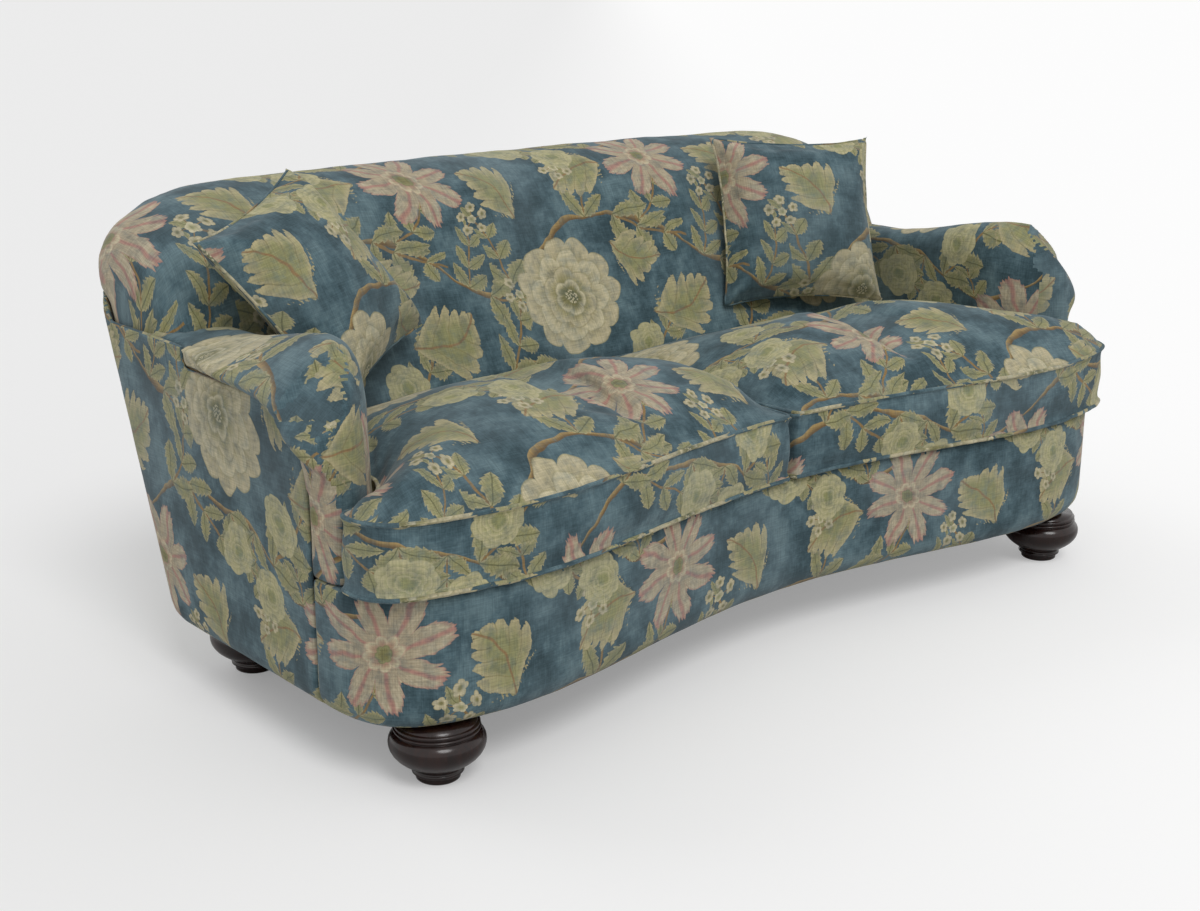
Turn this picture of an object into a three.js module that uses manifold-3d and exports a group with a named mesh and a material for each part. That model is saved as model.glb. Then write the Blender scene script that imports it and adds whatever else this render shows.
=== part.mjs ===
// A cabriole sofa: serpentine front, rolled arms and a raked tight back with rounded shoulders. It carries
// two loose T-shaped seat cushions, two loose throw pillows and four turned bun feet on a hardwood frame.
// Millimetres, +Z up, +X to the right as seen from the front, +Y to the back. While it is built, Y is zero
// on the line through the front feet. At the end the whole sofa is centred front to back.
import * as THREE from "three";
import { mergeVertices } from "three/addons/utils/BufferGeometryUtils.js";
import Module from "manifold-3d";

const wasm = await Module();
wasm.setup();

// Base and seat
const baseHalfWidth = 998; // middle to the outside arm
const baseBottom = 110; // floor to the underside of the upholstery, which is also the feet's height
const deckTop = 356; // floor to the deck that the seat cushions rest on
const seatDepth = 604; // front feet line to the inside back, in the middle, at the top of the cushions
const insideBow = 123; // how much further back the inside back is in the middle than at the arms
const frontReach = 94; // how far the two front shoulders stand forward of the middle
const shoulderInset = 283; // outside arm to the furthest point of a front shoulder
const shoulderX = baseHalfWidth - shoulderInset;
const cornerRun = 148; // width of the rounded front corner
const cornerDepth = 188; // depth of the rounded front corner
const sideSeamY = 140; // seam of the front band and arm front with the outside arm
const edgeRadius = 50; // rounded bottom edge of the upholstery

// Upholstery and frame
const bandThickness = 30; // padding and cover over the rails
const panelThickness = 12; // padding and cover over the open frame
const tuckUnder = 60; // how far the covers turn under the frame
const railLift = 13; // underside of the upholstery to the rails
const railThickness = 28;
const deckThickness = 44;
const springRoom = 16; // deck to the rails, which the springs cross
const railTop = deckTop - deckThickness - springRoom;
const gap = 0.4; // between pieces that lie against each other
const seam = 0.6; // between neighbouring covers
const postWidth = 40;
const uprightShare = 0.25; // place of the upright, as a share of the way out to the arm
const uprightWidth = 28;
const webShares = [0.18, 0.69];
const webWidth = 50;
const webThickness = 2;
const crestRailHeight = 95;
const crestRailDepth = 45;
const tackRailHeight = 60;
const armRailHeight = 45;
const armPostDepth = 45;
const armTackRailWidth = 24;
const stretcherShare = 0.5;
const stretcherHeight = 90;
const blockHeight = 50;
const blockReach = 110; // how far a corner block reaches inwards from over its foot
const blockShoulder = 16; // how far its long edge stands out beyond the foot's middle
// Where a corner block leaves the side, where it ends there, and where its inner end is, from the foot's
// middle along the side, as shares of its reach.
const frontBlockShares = [0.25, 1.4, 0.5];
const rearBlockShares = [0.3, 1.2, 0.5];
const clothThickness = 1.5;

// Seat cushions
const boxing = 135; // height of the side band, from welt to welt
const crown = 112; // rise of the top above the welt
const crownRun = 70; // run over which most of that rise is gained
const frontOverhang = 12; // how far the cushion stands out over the front band
const earOverhang = 6; // how far its ear stands out over the side of the base
const earCornerShare = 0.25; // how far back the ear's corner is, as a share of the base's rounded corner
const earRoundShare = 0.8; // how much of the ear's depth its front corner rounds
const earHeelRadius = 15;
const rearCushionRadius = 30; // rounded rear corners of a cushion, by the arm
const middleCushionRadius = 25; // and beside the other cushion
const spineShare = 0.72; // how far back the spine of a cushion's crown reaches, over the seat's depth
const crownFallFromShare = 0.4; // where the crown starts to fall towards the back, over the seat's depth
const crownFallShare = 0.75; // and how much of it is lost there, where the pillows lie
const crownShares = [0.05, 0.14, 0.3, 0.55, 0.8]; // rings of the crown, on the way in to its spine
const fillShares = [0.14, 0.5, 0.8]; // and of the filling under it
const weltRadius = 5;
const boxingBulge = 5;
const cushionGap = 7; // from the cushion's seam to what it lies against
const coverThickness = 3;
const fillClearance = 2; // between a cover and its filling
const zipHeight = 6;
const zipLength = 500;

// Arms
const armWidth = 148; // inside of the arm to the outside arm
const armInner = baseHalfWidth - armWidth;
const armWall = 60; // thickness of the padded inside arm
const postLap = 5; // how far the posts of the back and arm reach past what is fixed to them
const backPostX = armInner + armWall + postWidth / 2 - postLap;
const armFrontY = 62;
const rollBase = 640; // underside of the arm's padded roll
const armTopFront = rollBase + 110;
const armTopRear = rollBase + 52;
const armFallY = 400; // run over which the arm's top falls from front to rear height
const rollOverhang = 52; // how far the roll stands out beyond the outside arm
const rollRearOverhang = 4; // how far it stands out at its rear end
const rollOuter = baseHalfWidth + rollOverhang;
const lipHigh = rollBase + 32; // height of the roll's outer edge along the arm
const lipLow = rollBase - 18; // its height at the arm's front
const lipRun = 170; // run over which it drops
// The arm's roll in section, from inside to outside: how far out, as a share of its width with the roll, and
// how far down from its top, as a share of its height over the roll's outer edge.
const armCrownShares = [
  [0.02, 1],
  [0.07, 0.45],
  [0.15, 0.16],
  [0.26, 0],
  [0.4, 0.02],
  [0.58, 0.22],
  [0.78, 0.5],
  [0.94, 0.78],
  [1, 1],
  [0.96, 1.2],
];
const noseDepth = 145; // run over which the arm's front rounds back to its inner side
const noseInset = 23; // outside arm to the foremost part of that round front
const noseCentre = baseHalfWidth - noseInset;
const noseDrawShare = 0.8; // how far the foremost slice draws in towards it
const noseDropShare = 0.42; // how far it drops
const outerDrawShare = 0.5; // how far it draws in on the outer side
const noseSliceShares = [0, 0.06, 0.18, 0.38, 0.66, 1]; // places of the slices of the soft front
const noseUnderShare = 0.3; // how much of the roll's overhang is left under its edge, at the front
const noseUnderDropShare = 0.45; // how far under its edge that is, as a share of the roll's fall

// Back
const backHeight = 910;
const insideRake = 0.5; // run over rise of the inside back above the seat
const crevice = 0.1; // run over rise of the inside back behind the seat cushions
const creviceRise = 9; // from the top welt of the cushions to where the rake starts
const creviceTop = deckTop + boxing + creviceRise;
const outsideRake = 0.37; // run over rise of the outside back
const backDepth = 126; // thickness of the back at the base, in the middle
const rearMiddle = seatDepth + backDepth;
const rearBow = 40;
const rearCornerRadius = 68;
const rearSeamInset = 56; // seat's rear to the seam of the outside back with the outside arm
const rearSeamY = seatDepth - rearSeamInset;
const shoulderRun = 340; // width over which each end of the top rounds down
const shoulderEnd = baseHalfWidth + panelThickness / 6; // where the shoulder's curve would meet the arm
const shoulderFlat = shoulderEnd - shoulderRun;
const shoulderBase = rollBase; // height of that end
const shoulderPower = 3; // 2 is an ellipse, more is squarer
const lipDepth = 120; // how far the back's roll comes down behind
const lipThickness = 40;
const backPadding = 95;
const crestRound = 75; // height of the rounded top edge
const crestFullness = 0.25; // how much fuller the rounded top is behind than in front, as a share
const crestShare = 0.62; // most of the lip's depth that the rounding may take, on the shoulders
const crestCoverShare = 0.45; // share of the lip's depth that is padding over the crest rail
const wingRound = 200; // how far the front of the back rounds away at its outer ends
const wingEndDrawShare = 0.1; // how far the very end of the back draws in
const wingEndRun = 14;

// Springs
const springShares = [0.125, 0.375, 0.625, 0.875]; // places of the springs on the way out to the arm
const springWire = 4;
const springHalfWidth = 25;
const springWaves = 12;
const springCrown = 7;

// Feet
const footInset = 148; // outside arm to the middle of a foot
const footX = baseHalfWidth - footInset;
const rearFootInset = 115; // outside back to the middle of a rear foot
const rearFootY = rearMiddle - rearFootInset;
const footRadius = 84;
const soleRadius = 28;
const boltRadius = 4;
const boltInFoot = 30;
const boltClearance = 0.3;

// Throw pillows
const pillowSize = 424;
// Each pillow's lean, spin in its own plane and yaw, in radians, and its place on the way out to the arm.
const rightPillowTurn = [-0.4, 0.04, -0.4];
const rightPillowShare = 0.73;
const leftPillowTurn = [-0.646, -0.263, 0.432];
const leftPillowShare = 0.935;
const pillowFront = 88; // how far the front bulges
const pillowRear = 52;
const pillowDraw = 20; // how far each edge draws in between the corners
const pillowCurveShares = [2.2, 0.75]; // powers of its bulge: how far it stays full, how it falls away
const pillowCornerShare = 0.35; // how much flatter it is towards the corners
const pillowRingShares = [0.1, 0.4, 0.7, 0.92];
const pillowZip = 260;
const insertClearance = 1; // between a pillow's cover and its insert
const pillowRest = 0.5; // between a settled pillow and what it lies against
const armRest = 3; // between it and the arm

const outlineStep = 110; // longest straight piece of a seat cushion's outline
const mostMitre = 2; // longest mitre of a moved path's corner, over the distance it moves
const cut = 20; // overrun of cutting shapes

// Geometry helpers

// A closed solid from points and triangles, turned to face out whichever way round it was listed.
function solidOf(points, triangles) {
  const corners = points.map((point) => new THREE.Vector3(...point));
  const share = ([a, b, c]) => corners[a].dot(corners[b].clone().cross(corners[c]));
  const volume = triangles.reduce((sum, triangle) => sum + share(triangle), 0);
  const outward = volume > 0 ? triangles : triangles.map(([a, b, c]) => [a, c, b]);
  const geometry = new THREE.BufferGeometry();
  geometry.setAttribute("position", new THREE.Float32BufferAttribute(points.flat(), 3));
  geometry.setIndex(outward.flat());
  return geometry;
}

// The two axes that show a ring at its largest, for filling it in.
function flatView(ring) {
  const along = (k) => ring.map((p) => p[k]);
  const sizes = [0, 1, 2].map((k) => Math.max(...along(k)) - Math.min(...along(k)));
  const dropped = sizes.indexOf(Math.min(...sizes));
  const [u, v] = [0, 1, 2].filter((k) => k !== dropped);
  return ring.map((p) => new THREE.Vector2(p[u], p[v]));
}

// A skin through closed rings of as many points each, filled in at both ends.
function loft(rings) {
  const count = rings[0].length;
  const points = rings.flat();
  const triangles = [];
  for (let i = 0; i + 1 < rings.length; i += 1)
    for (let j = 0; j < count; j += 1) {
      const k = (j + 1) % count;
      const [a, b, c, d] = [i * count + j, i * count + k, (i + 1) * count + k, (i + 1) * count + j];
      triangles.push([a, b, c], [a, c, d]);
    }
  const fill = (ring, first, forward) => {
    const view = flatView(ring);
    const flat = THREE.ShapeUtils.triangulateShape(view, []);
    const areas = flat.map(([a, b, c]) => THREE.ShapeUtils.area([view[a], view[b], view[c]]));
    const along = areas.reduce((sum, area) => sum + area, 0) > 0 !== THREE.ShapeUtils.isClockWise(view);
    for (const [a, b, c] of flat) {
      const [next, last] = along === forward ? [b, c] : [c, b];
      triangles.push([first + a, first + next, first + last]);
    }
  };
  fill(rings[0], 0, false);
  fill(rings[rings.length - 1], (rings.length - 1) * count, true);
  return solidOf(points, triangles);
}

// Positions and triangles only, with shared corners.
function merged(geometry) {
  const bare = new THREE.BufferGeometry();
  bare.setAttribute("position", geometry.getAttribute("position"));
  if (geometry.index) bare.setIndex(geometry.index);
  return mergeVertices(bare);
}

function manifoldOf(geometry) {
  const { attributes, index } = merged(geometry);
  const vertProperties = attributes.position.array;
  const triVerts = new Uint32Array(index.array);
  return new wasm.Manifold(new wasm.Mesh({ numProp: 3, vertProperties, triVerts }));
}

function geometryOf(manifold) {
  const { vertProperties, triVerts } = manifold.getMesh();
  const geometry = new THREE.BufferGeometry();
  geometry.setAttribute("position", new THREE.BufferAttribute(vertProperties, 3));
  geometry.setIndex(new THREE.BufferAttribute(triVerts, 1));
  return geometry;
}

const without = (geometry, ...cutters) =>
  geometryOf(cutters.reduce((left, cutter) => left.subtract(manifoldOf(cutter)), manifoldOf(geometry)));
const joined = (a, b) => geometryOf(manifoldOf(a).add(manifoldOf(b)));

function mirrored(geometry) {
  const copy = merged(geometry).scale(-1, 1, 1);
  const index = Array.from(copy.index.array);
  for (let i = 0; i < index.length; i += 3) [index[i + 1], index[i + 2]] = [index[i + 2], index[i + 1]];
  copy.setIndex(index);
  return copy;
}

function block(x0, x1, y0, y1, z0, z1) {
  const geometry = new THREE.BoxGeometry(x1 - x0, y1 - y0, z1 - z0);
  return geometry.translate((x0 + x1) / 2, (y0 + y1) / 2, (z0 + z1) / 2);
}

// A flat outline in plan, raised from one height to another, with round holes.
function plate(outline, z0, z1, holes = []) {
  const shape = new THREE.Shape(outline.map(([x, y]) => new THREE.Vector2(x, y)));
  for (const [x, y, radius] of holes)
    shape.holes.push(new THREE.Path().absarc(x, y, radius, 0, 2 * Math.PI, true));
  const settings = { depth: z1 - z0, bevelEnabled: false, curveSegments: 5 };
  return new THREE.ExtrudeGeometry(shape, settings).translate(0, 0, z0);
}

// Each point of a path moved to its right by the distance, with mitred corners. Seen from above a path that
// runs anticlockwise round the sofa moves outwards.
function offsetPath(path, distance, closed = false) {
  const last = path.length - 1;
  return path.map(([x, y], i) => {
    const before = path[i > 0 ? i - 1 : closed ? last : 0];
    const after = path[i < last ? i + 1 : closed ? 0 : last];
    const way = (p, q) => new THREE.Vector2(q[0] - p[0], q[1] - p[1]).normalize();
    const into = before === path[i] ? way([x, y], after) : way(before, [x, y]);
    const out = after === path[i] ? into : way([x, y], after);
    const normal = new THREE.Vector2(into.y + out.y, -into.x - out.x).normalize();
    const turn = Math.max(normal.x * into.y - normal.y * into.x, 1 / mostMitre);
    const mitre = Math.min(distance / turn, Math.abs(distance) * mostMitre);
    return [x + normal.x * mitre, y + normal.y * mitre];
  });
}

// A wall along a path in plan, with a profile of [inset from the path, height] points. Only the path points
// that are kept get a column of the wall.
function wall(pathAt, profileOf, kept = () => true) {
  const rings = [];
  pathAt(baseBottom).forEach(([x, y], column) => {
    if (!kept(x, y)) return;
    rings.push(profileOf(Math.abs(x)).map(([inset, z]) => [...offsetPath(pathAt(z), -inset)[column], z]));
  });
  return loft(rings);
}

// Where a path in plan, moved inwards, crosses a width.
function crossing(path, inset, x) {
  const line = offsetPath(path, -inset);
  const spans = (x0, x1) => x0 !== x1 && (x0 - x) * (x1 - x) <= 0;
  const i = line.findIndex(([x0], k) => k > 0 && spans(line[k - 1][0], x0));
  const [[x0, y0], [x1, y1]] = [line[i - 1], line[i]];
  return y0 + ((y1 - y0) * (x - x0)) / (x1 - x0);
}

const ramp = (value, from, to) => THREE.MathUtils.clamp((value - from) / (to - from), 0, 1);
const smooth = (t) => t * t * (3 - 2 * t);
const spread = (from, to, count) =>
  Array.from({ length: count }, (_, i) => from + ((to - from) * i) / (count - 1));
const mirroredPath = (half) => [...half.toReversed(), ...half.slice(1).map(([x, y]) => [-x, y])];
const bothSides = (half) => [...half.slice(1).reverse().map((x) => -x), ...half];

// The sofa's main surfaces

function frontLine(x) {
  const u = x / shoulderX;
  return -frontReach * (2 * u ** 2 - u ** 4);
}

const cornerStart = baseHalfWidth - cornerRun;

// One rounded front corner, from the end of the front line to the straight side.
function frontCorner(count) {
  const x = cornerStart;
  const slope = frontLine(x + 1) - frontLine(x);
  const start = new THREE.Vector2(x, frontLine(x));
  const bend = new THREE.Vector2(baseHalfWidth, start.y + slope * cornerRun);
  const end = new THREE.Vector2(baseHalfWidth, start.y + cornerDepth);
  return new THREE.QuadraticBezierCurve(start, bend, end).getPoints(count).map((p) => [p.x, p.y]);
}

function frontPath() {
  const corner = frontCorner(6);
  const line = spread(-cornerStart, cornerStart, 17).slice(1, -1);
  const right = [...corner, [baseHalfWidth, sideSeamY]];
  const left = right.map(([px, py]) => [-px, py]).reverse();
  return [...left, ...line.map((px) => [px, frontLine(px)]), ...right];
}

// Widths at which the back is shaped. Between them every piece of it runs straight, so that they fit.
const rearStraight = baseHalfWidth - rearCornerRadius;
const cornerAngles = spread(Math.PI / 2, 0, 6);
const padHalfWidth = baseHalfWidth - panelThickness - 2 * seam;
const backWidths = [
  ...spread(0, shoulderFlat, 7),
  ...spread(shoulderFlat, rearStraight, 5).slice(1),
  ...cornerAngles.slice(1).map((a) => rearStraight + rearCornerRadius * Math.cos(a)),
];

// A size that changes across the back's width, made straight between those widths.
function stepped(size) {
  return (x) => {
    const inside = backWidths.filter((width) => width < Math.abs(x)).length;
    const i = THREE.MathUtils.clamp(inside, 1, backWidths.length - 1);
    const [x0, x1] = [backWidths[i - 1], backWidths[i]];
    return size(x0) + (size(x1) - size(x0)) * ramp(Math.abs(x), x0, x1);
  };
}

const rearLine = stepped((x) => rearMiddle - rearBow * (Math.min(x, rearStraight) / rearStraight) ** 2);

function rearPath(z) {
  const middle = (x) => rearLine(x) + (z - baseBottom) * outsideRake;
  const centreY = middle(rearStraight) - rearCornerRadius;
  const radius = rearCornerRadius;
  const onArc = (a) => [rearStraight + radius * Math.cos(a), centreY + radius * Math.sin(a)];
  const half = [
    ...backWidths.filter((x) => x <= rearStraight).map((x) => [x, middle(x)]),
    ...cornerAngles.slice(1).map(onArc),
    [baseHalfWidth, rearSeamY],
  ];
  return mirroredPath(half);
}

const rearSurface = (x, z, inset = 0) => crossing(rearPath(z), inset, x);

// The inside back: nearly upright behind the cushions, then raked, and bowed in plan.
const bowedBack = stepped((x) => seatDepth - insideBow * (x / armInner) ** 2);
const roundedAway = stepped((x) => {
  const share = ramp(x, padHalfWidth - wingRound, padHalfWidth);
  return wingRound * (1 - Math.sqrt(1 - share ** 2));
});
const backFace = (x, z) =>
  bowedBack(x) +
  roundedAway(x) -
  Math.max(creviceTop - z, 0) * crevice +
  Math.max(z - creviceTop, 0) * insideRake;

const shoulder = (x) => (1 - ramp(x, shoulderFlat, shoulderEnd) ** shoulderPower) ** (1 / shoulderPower);
const backTop = stepped((x) => shoulderBase + (backHeight - shoulderBase) * shoulder(x));
const lipBottom = stepped((x) => shoulderBase + (backHeight - shoulderBase - lipDepth) * shoulder(x));
const crestUnderside = (x) => backTop(x) - crestCoverShare * (backTop(x) - lipBottom(x));

const padRear = (x, z) => backFace(x, z) + backPadding;
const frameFront = (x, z) => padRear(x, z) + webThickness + 2 * gap;

// Covers of the base

// Rounded bottom edge, turned under the frame, with the thicker band over the rails.
function coverProfile(top, thicknessAbove) {
  const arc = spread(0, Math.PI / 2, 5).map((a) => [
    edgeRadius * (1 - Math.cos(a)),
    baseBottom + edgeRadius * (1 - Math.sin(a)),
  ]);
  const underside = [
    [tuckUnder, baseBottom],
    [tuckUnder, baseBottom + railLift],
    [bandThickness, baseBottom + railLift],
  ];
  const inside = [
    [bandThickness, railTop + gap],
    [thicknessAbove, railTop + bandThickness - thicknessAbove],
  ];
  const straight = thicknessAbove === bandThickness ? [] : inside;
  return [[0, top], ...arc, ...underside, ...straight, [thicknessAbove, top]];
}

const frontBorder = () => wall(frontPath, () => coverProfile(deckTop, bandThickness));

const outsideArm = () =>
  wall(
    () => [
      [baseHalfWidth, sideSeamY + seam],
      [baseHalfWidth, rearSeamY - seam],
    ],
    () => coverProfile(rollBase - gap, panelThickness),
  );

const outsideBack = () =>
  wall(rearPath, (x) => coverProfile(lipBottom(x) - seam, panelThickness));

function baseOutline(inset) {
  const front = frontPath();
  const rear = rearPath(baseBottom).slice(1, -1);
  return offsetPath([...front, ...rear], -inset, true);
}

// Seat frame

const railInset = bandThickness + gap;
const railBottom = baseBottom + railLift + gap;
const blockInset = railInset + railThickness + gap;
const sideInner = baseHalfWidth - blockInset;
const frontInner = (x) => crossing(frontPath(), blockInset, x);
const rearInner = (x, z) => rearSurface(x, z, blockInset);

function railProfile() {
  return [
    [railInset, railTop],
    [railInset, railBottom],
    [railInset + railThickness, railBottom],
    [railInset + railThickness, railTop],
  ];
}

const frontRail = () => wall(frontPath, railProfile, (x) => Math.abs(x) <= cornerStart + gap);
const backRail = () => wall(rearPath, railProfile, (x) => Math.abs(x) <= rearStraight + gap);

function sideRail() {
  const front = frontLine(cornerStart) + cornerDepth + gap;
  const rear = rearLine(rearStraight) - rearCornerRadius;
  return block(sideInner + gap, sideInner + gap + railThickness, front, rear, railBottom, railTop);
}

function stretcher(x) {
  const [x0, x1] = [x - railThickness / 2, x + railThickness / 2];
  const front = Math.max(frontInner(x0), frontInner(x1));
  return block(x0, x1, front, rearInner(x1, railBottom), railBottom, railBottom + stretcherHeight);
}

// Glued blocks in the corners, shaped to the rails, each over a foot.
const blockInner = footX - blockReach;
const blockOuter = footX + blockShoulder;

function frontBlock() {
  const [side, tip, heel] = frontBlockShares.map((share) => blockReach * share);
  const outline = [
    ...spread(blockInner, footX, 3).map((x) => [x, frontInner(x)]),
    [sideInner, side],
    [sideInner, tip],
    [blockOuter, tip],
    [blockInner, heel],
  ];
  return drilled(outline, 0);
}

function rearBlock() {
  const [side, tip, heel] = rearBlockShares.map((share) => rearFootY - blockReach * share);
  const between = backWidths.filter((x) => x <= rearStraight && x > blockInner);
  const outline = [
    [blockOuter, tip],
    [sideInner, tip],
    [sideInner, side],
    ...[...between.reverse(), blockInner].map((x) => [x, rearInner(x, railBottom)]),
    [blockInner, heel],
  ];
  return drilled(outline, rearFootY);
}

function drilled(outline, footY) {
  const radius = boltRadius + boltClearance;
  const hole = new THREE.CylinderGeometry(radius, radius, blockHeight + 2 * cut, 10);
  hole.rotateX(Math.PI / 2).translate(footX, footY, railBottom + blockHeight / 2);
  return without(plate(outline, railBottom, railBottom + blockHeight), hole);
}

// Feet: turned bun, radius and height of each turning from the sole up.
const footShares = [
  [0.54, 0.05],
  [0.56, 0.11],
  [0.53, 0.16],
  [0.56, 0.2],
  [0.76, 0.3],
  [0.92, 0.42],
  [0.99, 0.54],
  [1, 0.63],
  [0.97, 0.72],
  [0.9, 0.79],
  [0.85, 0.815],
  [0.89, 0.84],
  [0.88, 0.87],
  [0.83, 0.885],
  [0.88, 0.91],
  [0.87, 0.94],
  [0.82, 0.955],
];

function foot(y) {
  const top = baseBottom - gap;
  const hole = boltRadius + boltClearance;
  const turned = footShares.map(([r, z]) => [r * footRadius, z * baseBottom]);
  const topRadius = footShares[footShares.length - 1][0] * footRadius;
  const bolthole = [
    [hole, top],
    [hole, top - boltInFoot],
    [0, top - boltInFoot],
  ];
  const profile = [[0, 0], [soleRadius, 0], ...turned, [topRadius, top], ...bolthole];
  const points = profile.map(([r, z]) => new THREE.Vector2(r, z));
  return new THREE.LatheGeometry(points, 16).rotateX(Math.PI / 2).translate(footX, y, 0);
}

function hangerBolt(y) {
  const z0 = baseBottom - gap - boltInFoot + gap;
  const z1 = railBottom + blockHeight - gap;
  const bolt = new THREE.CylinderGeometry(boltRadius, boltRadius, z1 - z0, 10);
  return bolt.rotateX(Math.PI / 2).translate(footX, y, (z0 + z1) / 2);
}

function dustCover() {
  const radius = boltRadius + 2 * boltClearance;
  const holes = [-1, 1].flatMap((side) => [0, rearFootY].map((y) => [side * footX, y, radius]));
  return plate(baseOutline(tuckUnder + gap), baseBottom, baseBottom + clothThickness, holes);
}

// Springs and deck

function seatSpring(x) {
  const y0 = frontInner(x) - railThickness / 2;
  const y1 = rearInner(x, railTop) + railThickness / 2;
  const path = spread(y0, y1, springWaves + 1).flatMap((y, i) => {
    const side = i % 2 ? -springHalfWidth : springHalfWidth;
    return [
      [x - side, y],
      [x + side, y],
    ];
  });
  const radius = springWire / 2;
  const rise = (y) => railTop + radius + gap + springCrown * Math.sin(Math.PI * ramp(y, y0, y1));
  const corners = spread(0, 2 * Math.PI, 5).slice(0, -1).map((a) => a + Math.PI / 4);
  const sides = corners.map((a) => [offsetPath(path, radius * Math.cos(a)), radius * Math.sin(a)]);
  return loft(path.map(([, y], i) => sides.map(([line, lift]) => [...line[i], rise(y) + lift])));
}

const deckBottom = deckTop - deckThickness;

function seatDeck() {
  const inset = bandThickness + gap;
  const ears = offsetPath(frontPath(), -inset).filter(([, y]) => y < sideSeamY - cut);
  const side = armInner + armWall - gap;
  const widths = [...backWidths.filter((x) => x < side), side];
  const rear = mirroredPath(widths.map((x) => [x, backFace(x, deckBottom) - seam]));
  const right = [
    [ears.at(-1)[0], sideSeamY - cut],
    [side, sideSeamY - cut],
  ];
  const left = right.map(([x, y]) => [-x, y]).reverse();
  return plate([...ears, ...right, ...rear, ...left], deckBottom, deckTop);
}

// Back

// The tight back: padding from the crevice over the crest rail to a lip behind it. Beyond the arms' inner
// faces it only goes down to the arms' roll.
function insideBack() {
  const low = deckBottom + springWire;
  const reach = padHalfWidth - wingEndRun;
  const xs = bothSides([...backWidths.filter((x) => x < reach), reach]);
  const whole = loft(xs.map((x) => backRing(x, low)));
  const [x0, x1] = [armInner - seam, baseHalfWidth];
  const room = block(x0, x1, 0, rearMiddle + backHeight, low - cut, rollBase + gap);
  const hollow = without(whole, room, mirrored(room));
  const end = wingEnd();
  return joined(joined(hollow, end), mirrored(end));
}

// The solid padding that closes each end of the back, beyond the post, down to the arm's roll.
function wingEnd() {
  const [start, stop] = [backPostX + postWidth / 2 + gap, padHalfWidth - wingEndRun];
  const xs = [start, ...backWidths.filter((x) => x > start && x < stop), stop];
  const section = (x) => {
    const bottom = rollBase + gap;
    const lip = lipBottom(x);
    const inner = (z) => rearSurface(x, z, panelThickness + 2 * seam);
    return [
      [backFace(x, bottom), bottom],
      ...backCrest(x),
      [rearSurface(x, lip), lip],
      [inner(lip), lip],
      [inner(bottom), bottom],
    ];
  };
  const last = section(padHalfWidth - gap);
  const middleOf = (values) => (Math.min(...values) + Math.max(...values)) / 2;
  const middle = [0, 1].map((k) => middleOf(last.map((p) => p[k])));
  const drawn = last.map((p) => p.map((v, k) => v + (middle[k] - v) * wingEndDrawShare));
  const rings = xs.map((x) => section(x).map(([y, z]) => [x, y, z]));
  return loft([...rings, drawn.map(([y, z]) => [padHalfWidth, y, z])]);
}

// The rounded top edge, from the front face over to the rear.
function backCrest(x) {
  const [top, lip] = [backTop(x), lipBottom(x)];
  const round = Math.min(crestRound, (top - lip) * crestShare);
  const [front, rear] = [backFace(x, top - round), rearSurface(x, top - round)];
  // The two handles of this curve together reach three quarters of the way to its top.
  const rise = round / 0.75;
  const [frontRise, rearRise] = [rise * (1 - crestFullness), rise * (1 + crestFullness)];
  const crest = new THREE.CubicBezierCurve(
    new THREE.Vector2(front, top - round),
    new THREE.Vector2(front + frontRise * insideRake, top - round + frontRise),
    new THREE.Vector2(rear + rearRise * outsideRake, top - round + rearRise),
    new THREE.Vector2(rear, top - round),
  );
  return crest.getPoints(7).map((p) => [p.x, p.y]);
}

function backRing(x, bottom) {
  const [lip, under] = [lipBottom(x), crestUnderside(x)];
  const section = [
    [backFace(x, bottom), bottom],
    [backFace(x, creviceTop), creviceTop],
    ...backCrest(x),
    [rearSurface(x, lip), lip],
    [rearSurface(x, lip) - lipThickness, lip],
    [rearSurface(x, under) - lipThickness, under],
    [padRear(x, under), under],
    [padRear(x, creviceTop), creviceTop],
    [padRear(x, bottom), bottom],
  ];
  return section.map(([y, z]) => [x, y, z]);
}

// A rail's section where it crosses a width of the back: it stands behind the webs and leans with them.
function railRing(x, z0, z1, depth) {
  const section = [
    [z0, 0],
    [z1, 0],
    [z1, depth],
    [z0, depth],
  ];
  return section.map(([z, behind]) => [x, frameFront(x, z) + behind, z]);
}

function crestRail() {
  const reach = backPostX + postWidth / 2;
  const xs = bothSides([...backWidths.filter((x) => x < reach), reach]);
  const top = (x) => crestUnderside(x) - gap;
  return loft(xs.map((x) => railRing(x, top(x) - crestRailHeight, top(x), crestRailDepth)));
}

function tackRail() {
  const reach = backPostX - postWidth / 2 - gap;
  const xs = bothSides([...backWidths.filter((x) => x < reach), reach]);
  return loft(xs.map((x) => railRing(x, deckTop, deckTop + tackRailHeight, railThickness)));
}

// A sawn upright of the back, from the top of the back rail to the underside of the crest rail, notched
// round the tack rail where that passes it.
function backPost(x, width, notched) {
  const [x0, x1] = [x - width / 2, x + width / 2];
  const nearFront = (z) => Math.max(frameFront(x0, z), frameFront(x1, z));
  const top = Math.min(crestUnderside(x0), crestUnderside(x1)) - crestRailHeight - 2 * gap;
  const foot = railTop + gap;
  const rear = (z, inset) => Math.min(...[x0, x1].map((end) => rearSurface(end, z, inset + seam)));
  const bandTop = railTop + bandThickness;
  const section = [
    [nearFront(foot), foot],
    [nearFront(creviceTop), creviceTop],
    [nearFront(top), top],
    [rear(top, panelThickness), top],
    [rear(bandTop, panelThickness), bandTop],
    [rear(foot, bandThickness), foot],
  ];
  const post = loft([x0, x1].map((px) => section.map(([y, z]) => [px, y, z])));
  if (!notched) return post;
  const [z0, z1] = [deckTop - gap, deckTop + tackRailHeight + gap];
  const depth = frameFront(x0, z1) + railThickness + gap;
  return without(post, block(x0 - cut, x1 + cut, depth - 2 * railThickness - cut, depth, z0, z1));
}

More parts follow.
